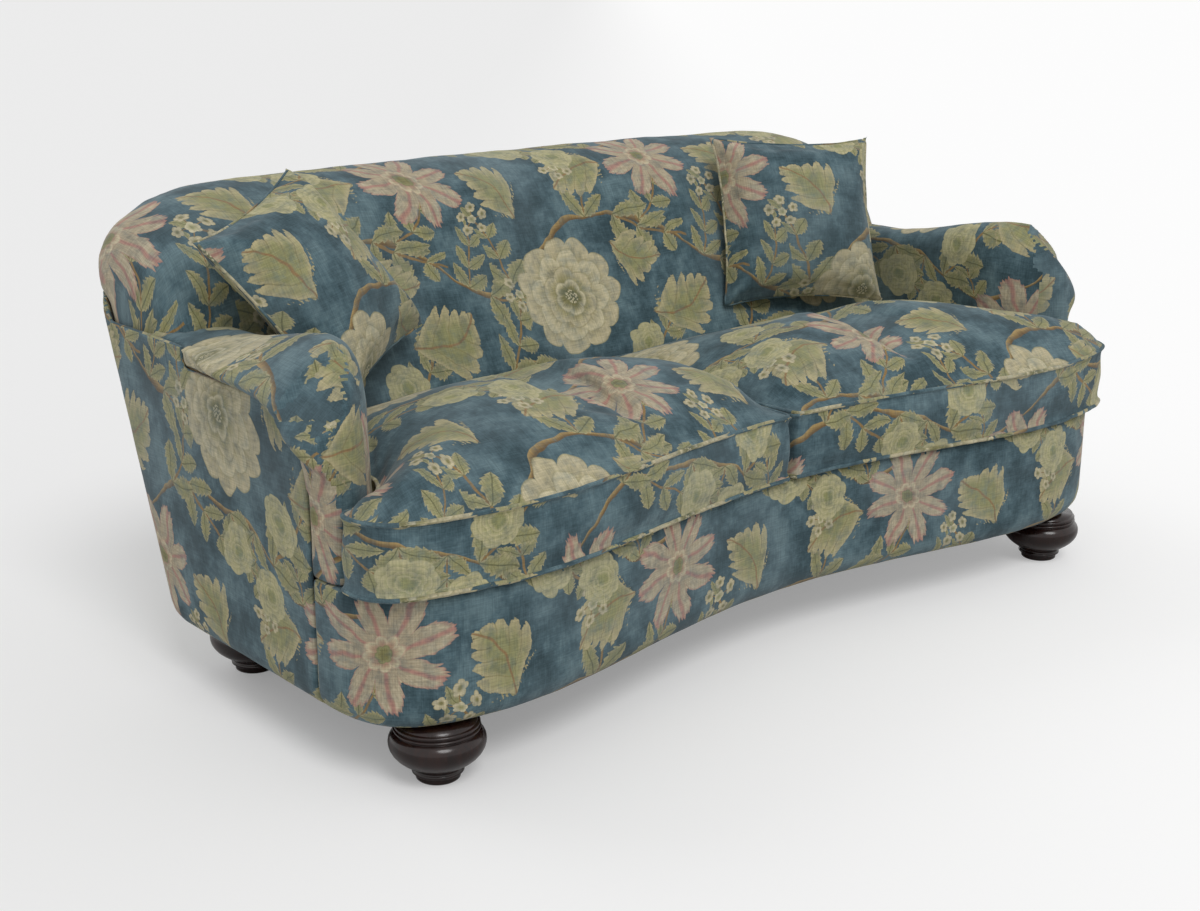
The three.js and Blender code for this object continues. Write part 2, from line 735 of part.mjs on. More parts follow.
function backWeb(x) {
  const levels = [deckTop + gap, creviceTop, crestUnderside(x + webWidth) - crestRailHeight / 2];
  const [x0, x1] = [x - webWidth / 2, x + webWidth / 2];
  const ring = (z) => {
    const [y0, y1] = [padRear(x0, z) + gap, padRear(x1, z) + gap];
    return [
      [x0, y0, z],
      [x1, y1, z],
      [x1, y1 + webThickness, z],
      [x0, y0 + webThickness, z],
    ];
  };
  return loft(levels.map(ring));
}

// Arms

const eased = (from, to, share) => from + (to - from) * smooth(share);
const armTop = (y) => eased(armTopFront, armTopRear, ramp(y, sideSeamY, sideSeamY + armFallY));
const armLip = (y) => eased(lipLow, lipHigh, ramp(y, armFrontY, armFrontY + lipRun));
const armOuter = (y) =>
  eased(rollOuter, baseHalfWidth + rollRearOverhang, ramp(y, sideSeamY + armFallY / 2, rearSeamY));

// Outline of an arm's section over the top, from inside to outside.
const armCrown = (y) => {
  const [top, lip, outer] = [armTop(y), armLip(y), armOuter(y)];
  const place = ([out, down]) => [armInner + (outer - armInner) * out, top - (top - lip) * down];
  return [[armInner, creviceTop], ...armCrownShares.map(place)];
};

// The soft front of the arm: its section draws in and drops towards the foremost part.
function noseDrawn(y, [x, z]) {
  const left = (1 - ramp(y, armFrontY, armFrontY + noseDepth)) ** 2;
  const outside = outerDrawShare * (1 - ramp(y, armFrontY, sideSeamY)) ** 3;
  const share = x < noseCentre ? noseDrawShare * left : outside;
  const rise = Math.max(z - creviceTop, 0);
  return [noseCentre + (x - noseCentre) * (1 - share), y, z - rise * noseDropShare * left];
}

function armPad() {
  const bottom = deckTop + gap;
  const wallSection = (y) => [
    [armInner, bottom],
    ...armCrown(y),
    [Math.min(baseHalfWidth, armOuter(y)), rollBase],
    [armInner + armWall, rollBase],
    [armInner + armWall, bottom],
  ];
  const rollEnd = rearSurface(0, shoulderBase);
  const noseEnd = armFrontY + noseDepth;
  const ys = [...spread(sideSeamY - gap, noseEnd, 4), ...spread(noseEnd, rearSeamY, 7).slice(1), rollEnd];
  const placed = (y, p) => (p[0] < armInner + armWall ? noseDrawn(y, p) : [p[0], y, p[1]]);
  const roll = loft(ys.map((y) => wallSection(y).map((p) => placed(y, p))));

  // The rounded front fills the arm's whole width.
  const slices = noseSliceShares.map((share) => armFrontY + (sideSeamY - armFrontY) * share);
  const underRoll = (y) => [
    baseHalfWidth + (armOuter(y) - baseHalfWidth) * noseUnderShare,
    armLip(y) - (armTop(y) - armLip(y)) * noseUnderDropShare,
  ];
  const solidSection = (y) => [
    [armInner, bottom],
    ...armCrown(y),
    underRoll(y),
    [baseHalfWidth, (armLip(y) + deckTop) / 2],
    [baseHalfWidth, bottom],
  ];
  const front = loft(slices.map((y) => solidSection(y).map((p) => noseDrawn(y, p))));

  // Room for the back: its raked face above the roll's underside, and its padded end below.
  const xs = [armInner - cut, ...backWidths.filter((x) => x > armInner - cut), rollOuter + cut];
  const far = rollEnd + cut;
  const wedge = (z0, z1, face) =>
    loft(
      xs.map((x) => [
        [x, face(x, z0), z0],
        [x, face(x, Math.max(z0, creviceTop)), Math.max(z0 + seam, creviceTop)],
        [x, face(x, z1), z1],
        [x, far, z1],
        [x, far, z0],
      ]),
    );
  const above = wedge(rollBase, backHeight, (x, z) => backFace(x, z) - seam);
  const below = wedge(deckTop - cut, rollBase + seam, (x, z) => padRear(x, z) - seam);
  const [outside, low] = [rollOuter + cut, rollBase - cut];
  const behindPanel = block(padHalfWidth, outside, rearSeamY - seam, far, low, backHeight);
  return without(joined(roll, front), above, below, behindPanel);
}

function armFrontPost() {
  const [x0, x1] = [armInner + armWall + armTackRailWidth - postLap, baseHalfWidth - bandThickness - gap];
  const y0 = sideSeamY + gap;
  return block(x0, x1, y0, y0 + armPostDepth, railTop + gap, rollBase - armRailHeight - 2 * gap);
}

function armTopRail() {
  const z1 = rollBase - gap;
  const z0 = z1 - armRailHeight;
  const [x0, x1] = [armInner + armWall + gap, baseHalfWidth - panelThickness - gap];
  const rear = Math.min(frameFront(backPostX - postWidth / 2, z0), frameFront(baseHalfWidth, z0)) - gap;
  return block(x0, x1, sideSeamY + gap, rear, z0, z1);
}

function armTackRail() {
  const x0 = armInner + armWall + gap;
  const y0 = sideSeamY + armPostDepth + 2 * gap;
  const rear = frameFront(x0 + armTackRailWidth, deckTop) - gap;
  return block(x0, x0 + armTackRailWidth, y0, rear, deckTop, deckTop + tackRailHeight);
}

// Seat cushions

// Points of a closed outline with rounded corners; each corner is [x, y, radius].
function roundedOutline(corners) {
  const points = [];
  corners.forEach(([x, y, radius], i) => {
    if (!radius) {
      points.push([x, y]);
      return;
    }
    const here = new THREE.Vector2(x, y);
    const [before, after] = [corners.at(i - 1), corners[(i + 1) % corners.length]];
    const way = ([px, py]) => new THREE.Vector2(px - x, py - y).normalize();
    const away = (other) => way(other).multiplyScalar(radius).add(here);
    const curve = new THREE.QuadraticBezierCurve(away(before), here, away(after));
    points.push(...curve.getPoints(3).map((p) => [p.x, p.y]));
  });
  return points.flatMap(([x, y], i) => {
    const [nx, ny] = points[(i + 1) % points.length];
    const pieces = Math.max(1, Math.round(Math.hypot(nx - x, ny - y) / outlineStep));
    const shares = spread(0, 1, pieces + 1).slice(0, -1);
    return shares.map((share) => [x + (nx - x) * share, y + (ny - y) * share]);
  });
}

const earRear = armFrontY - cushionGap - boxingBulge / 2;
const seatRear = (x) => bowedBack(x) - (creviceTop - deckTop) * crevice - cushionGap;

function seatOutline() {
  const overhang = (x) => frontLine(x) - frontOverhang;
  const earX = baseHalfWidth + earOverhang;
  const earY = overhang(cornerStart) + cornerRun * earCornerShare;
  const inside = armInner - cushionGap;
  const besideNose = (share) => {
    const y = armFrontY + noseDepth * share;
    return [noseDrawn(y, [armInner, weltTop])[0] - cushionGap, y + earRear - armFrontY, 0];
  };
  return roundedOutline([
    [weltRadius + gap, overhang(0), 0],
    ...spread(0, cornerStart, 8).slice(1).map((x) => [x, overhang(x), 0]),
    [earX, earY, (earRear - earY) * earRoundShare],
    [earX - weltRadius, earRear, earHeelRadius],
    ...spread(0, 1, 5).map(besideNose),
    [inside, seatRear(inside), rearCushionRadius],
    ...spread(inside, 0, 7).slice(1, -1).map((x) => [x, seatRear(x), 0]),
    [weltRadius + gap, seatRear(0), middleCushionRadius],
  ]);
}

function distanceTo(outline, x, y) {
  const here = new THREE.Vector3(x, y, 0);
  const near = new THREE.Vector3();
  return Math.min(
    ...outline.map(([ax, ay], i) => {
      const [bx, by] = outline[(i + 1) % outline.length];
      const edge = new THREE.Line3(new THREE.Vector3(ax, ay, 0), new THREE.Vector3(bx, by, 0));
      return edge.closestPointToPoint(here, true, near).distanceTo(here);
    }),
  );
}

const seatBottom = deckTop + gap;
const weltTop = deckTop + boxing;
const crownLeft = (y) => 1 - crownFallShare * ramp(y, seatDepth * crownFallFromShare, seatDepth);
const seatCrown = (outline, x, y) =>
  weltTop + crown * crownLeft(y) * (1 - Math.exp(-distanceTo(outline, x, y) / crownRun));

// Towards the middle of the cushion: its spine runs from the front third to near the back.
function drawnIn(outline, share) {
  const [spineX, spineLength] = [armInner / 2, seatDepth * spineShare];
  const rear = seatRear(spineX);
  return outline.map(([x, y]) => {
    const spineY = spineLength * ramp(y, earRear, rear);
    return [x + (spineX - x) * share, y + (spineY - y) * share];
  });
}

const crownRing = (outline, share, inset = 0) =>
  drawnIn(outline, share).map(([x, y]) => [x, y, seatCrown(outline, x, y) - inset]);

// A crowned block on the seat outline, smaller than the cushion all round by the inset.
function crownedBlock(outline, inset, shares) {
  const line = offsetPath(outline, -inset, true);
  const sides = [seatBottom + inset, weltTop - 2 * inset].map((z) => line.map(([x, y]) => [x, y, z]));
  const crowned = shares.map((share) => crownRing(outline, share, inset));
  const top = crowned.pop();
  const level = Math.min(...top.map(([, , z]) => z));
  return loft([...sides, ...crowned, top.map(([x, y]) => [x, y, level])]);
}

function seatCover(outline) {
  const level = (offset, z) => offsetPath(outline, offset, true).map(([x, y]) => [x, y, z]);
  const sides = [
    level(0, seatBottom),
    level(weltRadius, seatBottom + weltRadius),
    level(0, seatBottom + 2 * weltRadius),
    level(boxingBulge, (seatBottom + weltTop) / 2),
    level(0, weltTop - 2 * weltRadius),
    level(weltRadius, weltTop - weltRadius),
    level(0, weltTop),
  ];
  const crowned = crownShares.map((share) => crownRing(outline, share));
  const hollow = crownedBlock(outline, coverThickness, fillShares);
  const middle = armInner / 2;
  const [x0, x1] = [middle - zipLength / 2, middle + zipLength / 2];
  const [y0, y1] = [seatRear(middle) - 2 * cut, seatRear(middle) + 2 * cut];
  const zipZ = (seatBottom + weltTop) / 2;
  const slot = block(x0, x1, y0, y1, zipZ - zipHeight / 2, zipZ + zipHeight / 2);
  return without(loft([...sides, ...crowned]), hollow, slot);
}

const seatCore = (outline) => crownedBlock(outline, coverThickness + fillClearance, fillShares);

// Throw pillows

// A square with pointed corners and drawn-in edges, upright in its own plane, seen from the front.
function pillowEdge(size) {
  const half = size / 2;
  const side = spread(-1, 1, 9).slice(0, -1);
  const bow = (t) => half - pillowDraw * (1 - t * t);
  const corners = [
    (t) => [t * half, -bow(t)],
    (t) => [bow(t), t * half],
    (t) => [-t * half, bow(t)],
    (t) => [-bow(t), -t * half],
  ];
  return corners.flatMap((point) => side.map(point));
}

function pillowShape(size, front, rear) {
  const edge = pillowEdge(size);
  const height = (share, x, z) => {
    const corner = Math.abs(x * z) / (size / 2) ** 2;
    const [reach, fullness] = pillowCurveShares;
    return (1 - share ** reach) ** fullness * (1 - pillowCornerShare * corner * share ** 2);
  };
  const layer = (share, depth) =>
    edge.map(([x, z]) => [x * share, depth * height(share, x, z), z * share]);
  return loft([
    ...pillowRingShares.map((share) => layer(share, rear)),
    layer(1, 0),
    ...pillowRingShares.toReversed().map((share) => layer(share, -front)),
  ]);
}

function pillowCover() {
  const [front, rear] = [pillowFront - coverThickness, pillowRear - coverThickness];
  const hollow = pillowShape(pillowSize - 4 * coverThickness, front, rear);
  const low = -pillowSize / 2;
  const high = low + pillowDraw + 2 * coverThickness + cut / 2;
  const [run, width] = [pillowZip / 2, weltRadius / 2];
  const zip = block(-run, run, -width, width, low - cut, high);
  return without(pillowShape(pillowSize, pillowFront, pillowRear), hollow, zip);
}

function pillowInsert() {
  const inset = coverThickness + insertClearance;
  return pillowShape(pillowSize - 4 * inset, pillowFront - inset, pillowRear - inset);
}

// Inside of the arm at a height, which a pillow can lean on.
function armInside(y, z) {
  const outline = armCrown(y);
  const i = outline.findIndex(([, height], k) => k > 0 && z <= height);
  if (i < 0) return Infinity;
  const [[x0, z0], [x1, z1]] = [outline[i - 1], outline[i]];
  return x0 + (x1 - x0) * ramp(z, z0, z1);
}

// Moves a turned pillow until it touches the back, the seat cushion and, if it leans on one, the arm.
function settled(geometry, from, outline, side) {
  const at = new THREE.Vector3(...from);
  const corner = (i) => new THREE.Vector3().fromBufferAttribute(geometry.getAttribute("position"), i);
  const index = Array.from(geometry.index.array);
  const shares = spread(0, 1, 5).slice(0, -1);
  const samples = index.flatMap((from, k) => {
    const to = index[k % 3 === 2 ? k - 2 : k + 1];
    return shares.map((share) => corner(from).lerp(corner(to), share));
  });
  const least = (measure) =>
    Math.min(...samples.map((p) => measure(p.x + at.x, p.y + at.y, p.z + at.z)));
  const overSeat = (x, y, z) => {
    const out = Math.abs(x);
    return out < armInner ? z - seatCrown(outline, out, y) : Infinity;
  };
  const beforeBack = (x, y, z) => (z < backTop(x) ? backFace(x, z) - y : Infinity);
  const besideArm = (x, y, z) => armInside(y, z) - side * x;
  for (let round = 0; round < 12; round += 1) {
    at.z -= least(overSeat) - pillowRest;
    at.y += least(beforeBack) - pillowRest;
    if (side) at.x += side * (least(besideArm) - armRest);
  }
  return geometry.translate(at.x, at.y, at.z);
}

// Materials

const finish = (color, roughness, metalness = 0) =>
  new THREE.MeshStandardMaterial({ color, roughness, metalness });
const printedLinen = finish(0x45647c, 0.85);
const linings = finish(0x2a2b2c, 0.9);
const frameWood = finish(0xb89468, 0.7);
const footWood = finish(0x1f1512, 0.25);
const steel = finish(0x8a8c8e, 0.4, 1);
const foam = finish(0xe8dfc6, 0.95);
const ticking = finish(0xdad6cb, 0.9);
const jute = finish(0x9a8254, 0.9);
const deckCloth = finish(0x8f9aa3, 0.9);

// The assembly

const sofa = new THREE.Group();

function add(name, geometry, material) {
  const mesh = new THREE.Mesh(geometry, material);
  mesh.name = name;
  sofa.add(mesh);
}

function addPair(name, geometry, material) {
  add(name + "_right", geometry, material);
  add(name + "_left", mirrored(geometry), material);
}

add("front_rail", frontRail(), frameWood);
add("back_rail", backRail(), frameWood);
addPair("side_rail", sideRail(), frameWood);
addPair("seat_stretcher", stretcher(stretcherShare * armInner), frameWood);
addPair("corner_block_front", frontBlock(), frameWood);
addPair("corner_block_rear", rearBlock(), frameWood);
addPair("foot_front", foot(0), footWood);
addPair("foot_rear", foot(rearFootY), footWood);
addPair("hanger_bolt_front", hangerBolt(0), steel);
addPair("hanger_bolt_rear", hangerBolt(rearFootY), steel);
add("dust_cover", dustCover(), linings);
springShares.forEach((share, i) => addPair("seat_spring_" + (i + 1), seatSpring(share * armInner), steel));
add("seat_deck", seatDeck(), deckCloth);
add("front_border", frontBorder(), printedLinen);

add("back_tack_rail", tackRail(), frameWood);
add("back_crest_rail", crestRail(), frameWood);
addPair("back_post", backPost(backPostX, postWidth, false), frameWood);
addPair("back_upright", backPost(uprightShare * armInner, uprightWidth, true), frameWood);
webShares.forEach((share, i) => addPair("back_web_" + (i + 1), backWeb(share * armInner), jute));
add("inside_back", insideBack(), printedLinen);
add("outside_back", outsideBack(), printedLinen);

addPair("arm_front_post", armFrontPost(), frameWood);
addPair("arm_top_rail", armTopRail(), frameWood);
addPair("arm_tack_rail", armTackRail(), frameWood);
addPair("arm_pad", armPad(), printedLinen);
addPair("outside_arm", outsideArm(), printedLinen);

const seat = seatOutline();
addPair("seat_cushion_cover", seatCover(seat), printedLinen);
addPair("seat_cushion_core", seatCore(seat), foam);

// Each pillow is turned about its own middle, then settles into its corner of the seat. It starts well above
// the seat, and side is the arm that it leans on, if it does.
const pillows = [
  { name: "right", turn: rightPillowTurn, across: rightPillowShare, side: 0 },
  { name: "left", turn: leftPillowTurn, across: -leftPillowShare, side: -1 },
];
for (const { name, turn, across, side } of pillows) {
  const [lean, spin, yaw] = turn;
  const turned = (geometry) => geometry.rotateY(spin).rotateX(lean).rotateZ(yaw);
  const cover = turned(pillowCover());
  const firstCorner = () => new THREE.Vector3().fromBufferAttribute(cover.getAttribute("position"), 0);
  const from = firstCorner();
  settled(cover, [across * armInner, seatDepth - pillowFront, weltTop + pillowSize], seat, side);
  const moved = firstCorner().sub(from);
  add("pillow_cover_" + name, cover, printedLinen);
  add("pillow_insert_" + name, turned(pillowInsert()).translate(moved.x, moved.y, moved.z), ticking);
}

const bounds = new THREE.Box3().setFromObject(sofa);
sofa.position.y = -(bounds.min.y + bounds.max.y) / 2;

export default sofa;
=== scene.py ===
# The looks of a cabriole sofa in printed linen: serpentine front, rolled arms, raked tight back with rounded
# shoulders, two loose seat cushions, two throw pillows and turned bun feet. Everything is in metres.
import math

import bmesh
import bpy
import numpy as np
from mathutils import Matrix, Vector


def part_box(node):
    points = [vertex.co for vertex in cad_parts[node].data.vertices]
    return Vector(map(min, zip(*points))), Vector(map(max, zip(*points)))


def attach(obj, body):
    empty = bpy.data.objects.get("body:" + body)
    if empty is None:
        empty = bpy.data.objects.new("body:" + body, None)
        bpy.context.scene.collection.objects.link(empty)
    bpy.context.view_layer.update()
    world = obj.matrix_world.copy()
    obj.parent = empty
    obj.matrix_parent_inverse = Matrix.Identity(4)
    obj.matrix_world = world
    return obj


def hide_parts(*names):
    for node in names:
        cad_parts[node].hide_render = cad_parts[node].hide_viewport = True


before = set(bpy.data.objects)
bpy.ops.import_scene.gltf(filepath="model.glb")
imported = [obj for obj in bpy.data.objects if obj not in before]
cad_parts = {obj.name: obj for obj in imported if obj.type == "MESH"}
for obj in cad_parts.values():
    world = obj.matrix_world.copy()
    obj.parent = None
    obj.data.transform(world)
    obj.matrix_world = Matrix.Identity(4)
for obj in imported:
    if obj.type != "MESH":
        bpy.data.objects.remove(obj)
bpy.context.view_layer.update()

scene = bpy.context.scene


# Helpers


def colour(code):
    """A colour written as sRGB hex, turned to the linear values that sockets hold."""
    parts = [int(code[i : i + 2], 16) / 255 for i in (1, 3, 5)]
    linear = [c / 12.92 if c <= 0.04045 else ((c + 0.055) / 1.055) ** 2.4 for c in parts]
    return (*linear, 1.0)


def first(sockets):
    """The first socket that a node's settings leave in use."""
    return next(s for s in sockets if s.enabled)


def add(tree, kind, *values, **settings):
    """Adds a node to a tree. What follows a dot in the kind, as in Math.ADD or Mix.RGBA, is its operation or
    data type. Each value is a node, a socket, a colour in hex, another constant, or None to leave a socket
    alone."""
    kind, _, choice = kind.partition(".")
    full = kind if kind.startswith(("Geometry", "Node", "Shader")) else "ShaderNode" + kind
    node = tree.nodes.new(full)
    if choice:
        setattr(node, "operation" if hasattr(node, "operation") else "data_type", choice)
    for name, value in settings.items():
        setattr(node, name, value)
    for socket, value in zip([s for s in node.inputs if s.enabled], values):
        if isinstance(value, bpy.types.Node):
            value = first(value.outputs)
        if isinstance(value, bpy.types.NodeSocket):
            tree.links.new(value, socket)
        elif value is not None:
            socket.default_value = colour(value) if isinstance(value, str) else value
    return node


def shader_group(name, inputs, outputs):
    """An empty node group with its inputs and outputs, each given as name: socket type."""
    tree = bpy.data.node_groups.new(name, "ShaderNodeTree")
    for way, sockets in (("INPUT", inputs), ("OUTPUT", outputs)):
        for label, kind in sockets.items():
            tree.interface.new_socket(label, in_out=way, socket_type="NodeSocket" + kind)
    return tree, tree.nodes.new("NodeGroupInput"), tree.nodes.new("NodeGroupOutput")


def finish_group(tree, outward, node):
    """Joins a node's result to a group's only output."""
    tree.links.new(first(node.outputs), outward.inputs[0])
    return tree


# The printed cloth. Places on it are in metres of flat cloth, and sizes inside a motif are shares of its own.

REPEAT = (0.66, 0.62)
GROUND_DARK, GROUND_MID, GROUND_LIGHT = "#33484f", "#496068", "#647b81"
CREAM, TAN, STRAW = "#bcb292", "#a59b78", "#c5bc9c"
SAGE, OLIVE, MOSS = "#918f66", "#7f7a50", "#656544"
ROSE, BRANCH, BARK = "#a7786e", "#8a7046", "#6b5638"

# Each branch is its height on the cloth, sway, start and half thickness.
BRANCHES = [(0.10, 0.075, 0.4, 0.0062), (0.43, 0.06, 2.6, 0.005)]
BRANCH_RIPPLE = 0.014
# Each twig is the branch that it grows from, where, its turn, its length and what is at its tip.
GROWTH = [
    (0, 0.10, 75, 0.17, "rose"),
    (0, 0.18, -35, 0.19, None),
    (0, 0.24, 38, 0.17, "cluster"),
    (0, 0.40, 60, 0.15, None),
    (0, 0.45, -30, 0.18, "rose"),
    (0, 0.52, 95, 0.17, "cluster"),
    (1, 0.06, -100, 0.14, "cluster"),
    (1, 0.12, 30, 0.20, None),
    (1, 0.22, 100, 0.13, "rose"),
    (1, 0.44, 45, 0.17, "cluster"),
    (1, 0.50, -45, 0.17, "rose"),
    (1, 0.64, -70, 0.15, None),
]
TWIG_BEND = 0.28
TIP_SIZES = {"rose": 0.052, "cluster": 0.044}
# These rows are place across and up the cloth, turn in degrees, and size.
STARS = [(0.33, 0.30, 20, 0.12)]
BROAD_LEAVES = [
    (0.115, 0.285, 200, 0.085),
    (0.545, 0.265, 130, 0.08),
    (0.30, 0.545, 15, 0.088),
    (0.20, 0.055, -20, 0.07),
]
BLOOMS = [(0.0, 0.0, 0, 0.128)]


def motif_group(name, rows):
    """A group that draws a motif at each row's place, turn and size. It finds the nearest place first, so
    that the motif is worked out once. Gives the tree, the colour that is under the motif, the group's output,
    and the pairs x, y and radius, angle in the motif's own size."""
    tree, inward, outward = shader_group(name, {"Cloth": "Vector", "Under": "Color"}, {"Over": "Color"})
    half = (REPEAT[0] / 2, REPEAT[1] / 2, 1)
    nearest = own = None
    for x, y, turn, size in rows:
        away = add(tree, "VectorMath.SUBTRACT", inward.outputs["Cloth"], (x, y, 0))
        near = add(tree, "VectorMath.WRAP", away, half, tuple(-h for h in half))
        turned = add(tree, "VectorRotate", near, None, math.radians(-turn), rotation_type="Z_AXIS")
        scaled = add(tree, "VectorMath.SCALE", turned, 1 / size)
        distance = add(tree, "VectorMath.LENGTH", scaled)
        if own is None:
            nearest, own = distance, scaled
            continue
        closer = add(tree, "Math.LESS_THAN", distance, nearest)
        own = add(tree, "Mix.VECTOR", closer, own, scaled)
        nearest = add(tree, "Math.MINIMUM", nearest, distance)
    parts = add(tree, "SeparateXYZ", own)
    x, y = parts.outputs["X"], parts.outputs["Y"]
    angle = add(tree, "Math.ARCTAN2", y, x)
    return tree, inward.outputs["Under"], outward, (x, y), (nearest, angle)


def soft_edge(tree, depth, width):
    """1 well inside an edge and 0 outside it, from the depth inside it."""
    return add(tree, "MapRange", depth, -width / 2, width / 2, 0.0, 1.0, interpolation_type="SMOOTHSTEP")


def laid(tree, under, over, depth, width):
    """One colour printed over another, up to an edge."""
    return add(tree, "Mix.RGBA", soft_edge(tree, depth, width), under, over)


def graded(tree, value, low, high, start, end):
    """From one colour to another as a value goes from low to high."""
    return add(tree, "Mix.RGBA", add(tree, "MapRange", value, low, high), start, end)


def inked(tree, shade, ink, distance, solid, gone, strength):
    """A drawn line: at its strongest up to one distance from its middle, and gone at another."""
    return add(tree, "Mix.RGBA", add(tree, "MapRange", distance, solid, gone, strength, 0.0), shade, ink)


def lobes(tree, angle, count, phase, depth, power):
    """Runs from 1 in the middle of each petal down to 1 - depth between petals."""
    turned = add(tree, "Math.MULTIPLY_ADD", angle, count / 2, phase)
    wave = add(tree, "Math.ABSOLUTE", add(tree, "Math.COSINE", turned))
    shaped = add(tree, "Math.POWER", wave, power)
    return add(tree, "Math.MULTIPLY_ADD", shaped, depth, 1 - depth)


def petal_ring(tree, under, radius, angle, reach, count, phase, depth, tones, streaks):
    """One ring of petals: shaded from its dark inner end to its pale lip, with an outline."""
    lobe = lobes(tree, angle, count, phase, depth, 0.6)
    edge = add(tree, "Math.MULTIPLY", lobe, reach)
    depth_in = add(tree, "Math.SUBTRACT", edge, radius)
    share = add(tree, "Math.DIVIDE", radius, edge)
    rim, body, heart = tones
    tone = add(tree, "MapRange", share, 0.45, 0.95, 0.0, 1.0, interpolation_type="SMOOTHSTEP")
    shade = add(tree, "Mix.RGBA", tone, heart, body)
    streak = add(tree, "Math.MULTIPLY", streaks, add(tree, "Math.SUBTRACT", 1.15, tone))
    shade = add(tree, "Mix.RGBA", add(tree, "Math.MULTIPLY", streak, 0.5), shade, rim)
    line = add(tree, "MapRange", depth_in, 0.0, 0.035, 1.0, 0.0, interpolation_type="SMOOTHSTEP")
    shade = add(tree, "Mix.RGBA", add(tree, "Math.MULTIPLY", line, 0.55), shade, rim)
    return laid(tree, under, shade, depth_in, 0.02)


def streak_field(tree, angle, radius, count, drift):
    """Fine hand-drawn lines that run outwards from a motif's middle."""
    across = add(tree, "Math.MULTIPLY", angle, count / math.tau)
    place = add(tree, "CombineXYZ", across, add(tree, "Math.MULTIPLY", radius, drift))
    noise = add(tree, "TexNoise", place, 1.0, 1.0, noise_dimensions="2D")
    return add(tree, "MapRange", noise, 0.42, 0.6, 0.0, 1.0, interpolation_type="SMOOTHSTEP")


def bloom_group(rows):
    """A full round flower: four rings of petals that lie over one another, and a seeded middle."""
    tree, drawn, outward, (x, y), (radius, angle) = motif_group("full bloom", rows)
    streaks = streak_field(tree, angle, radius, 90, 3)
    for ring in (
        (1.0, 11, 0.0, 0.16, (OLIVE, CREAM, TAN)),
        (0.76, 8, 0.5, 0.2, (OLIVE, STRAW, TAN)),
        (0.53, 6, 1.1, 0.22, (OLIVE, CREAM, "#8f8a5f")),
        (0.32, 5, 0.2, 0.24, (MOSS, STRAW, OLIVE)),
    ):
        drawn = petal_ring(tree, drawn, radius, angle, *ring, streaks)
    seeds = add(tree, "TexVoronoi", add(tree, "CombineXYZ", x, y), 22.0, voronoi_dimensions="2D")
    seed = graded(tree, seeds.outputs["Distance"], 0.2, 0.5, STRAW, MOSS)
    drawn = laid(tree, drawn, seed, add(tree, "Math.SUBTRACT", 0.12, radius), 0.02)
    return finish_group(tree, outward, drawn)


def star_group(rows):
    """A flower of long pointed petals with fringed edges and a rose-coloured rib down each."""
    tree, under, outward, _, (radius, angle) = motif_group("fringed star", rows)
    fringe_at = add(tree, "CombineXYZ", add(tree, "Math.MULTIPLY", angle, 9.0), 0.0)
    fringe = add(tree, "TexNoise", fringe_at, 2.2, 1.0, noise_dimensions="2D")
    ragged = add(tree, "Math.MULTIPLY_ADD", fringe, 0.22, -0.11)
    lobe = lobes(tree, angle, 8, 0.4, 0.56, 0.75)
    depth_in = add(tree, "Math.SUBTRACT", add(tree, "Math.ADD", lobe, ragged), radius)
    lines = streak_field(tree, angle, radius, 120, 6)
    outer = soft_edge(tree, add(tree, "Math.SUBTRACT", radius, 0.55), 0.7)
    shade = add(tree, "Mix.RGBA", outer, "#aa9d84", "#b8ad93")
    shade = add(tree, "Mix.RGBA", add(tree, "Math.MULTIPLY", lines, 0.3), shade, "#8d8068")
    rib = add(tree, "Math.MULTIPLY", add(tree, "Math.SUBTRACT", 1.0, lobe), radius)
    shade = inked(tree, shade, ROSE, rib, 0.0, 0.012, 0.85)
    shade = inked(tree, shade, ROSE, depth_in, 0.0, 0.09, 0.75)
    drawn = laid(tree, under, shade, depth_in, 0.03)
    drawn = petal_ring(tree, drawn, radius, angle, 0.3, 8, 0.4, 0.3, (ROSE, STRAW, "#a08a70"), lines)
    drawn = petal_ring(tree, drawn, radius, angle, 0.14, 6, 0.1, 0.2, (MOSS, SAGE, OLIVE), lines)
    return finish_group(tree, outward, drawn)


def rose_group(rows):
    """A small cupped flower seen from the side of its bud, pale at the lip and green in the folds."""
    tree, drawn, outward, _, (radius, angle) = motif_group("garden rose", rows)
    streaks = streak_field(tree, angle, radius, 60, 2)
    tones = ("#7f8356", "#b5ae87", "#959465")
    for ring in ((1.0, 7, 0.2, 0.14), (0.78, 6, 0.9, 0.16), (0.58, 5, 0.1, 0.18), (0.38, 4, 0.7, 0.2)):
        drawn = petal_ring(tree, drawn, radius, angle, *ring, tones, streaks)
    return finish_group(tree, outward, drawn)


def leaf_shape(tree, x, y, width, teeth):
    """Depth inside a pointed leaf that runs from x 0 to 1 with toothed sides."""
    rise = add(tree, "Math.MULTIPLY", x, add(tree, "Math.SUBTRACT", 1.0, x))
    arch = add(tree, "Math.MULTIPLY", rise, 4.0 * width)
    tooth = add(tree, "Math.FRACT", add(tree, "Math.MULTIPLY", x, teeth))
    cut = add(tree, "Math.MULTIPLY", add(tree, "Math.MULTIPLY", tooth, arch), 0.3)
    side = add(tree, "Math.SUBTRACT", arch, cut)
    return add(tree, "Math.SUBTRACT", side, add(tree, "Math.ABSOLUTE", y))


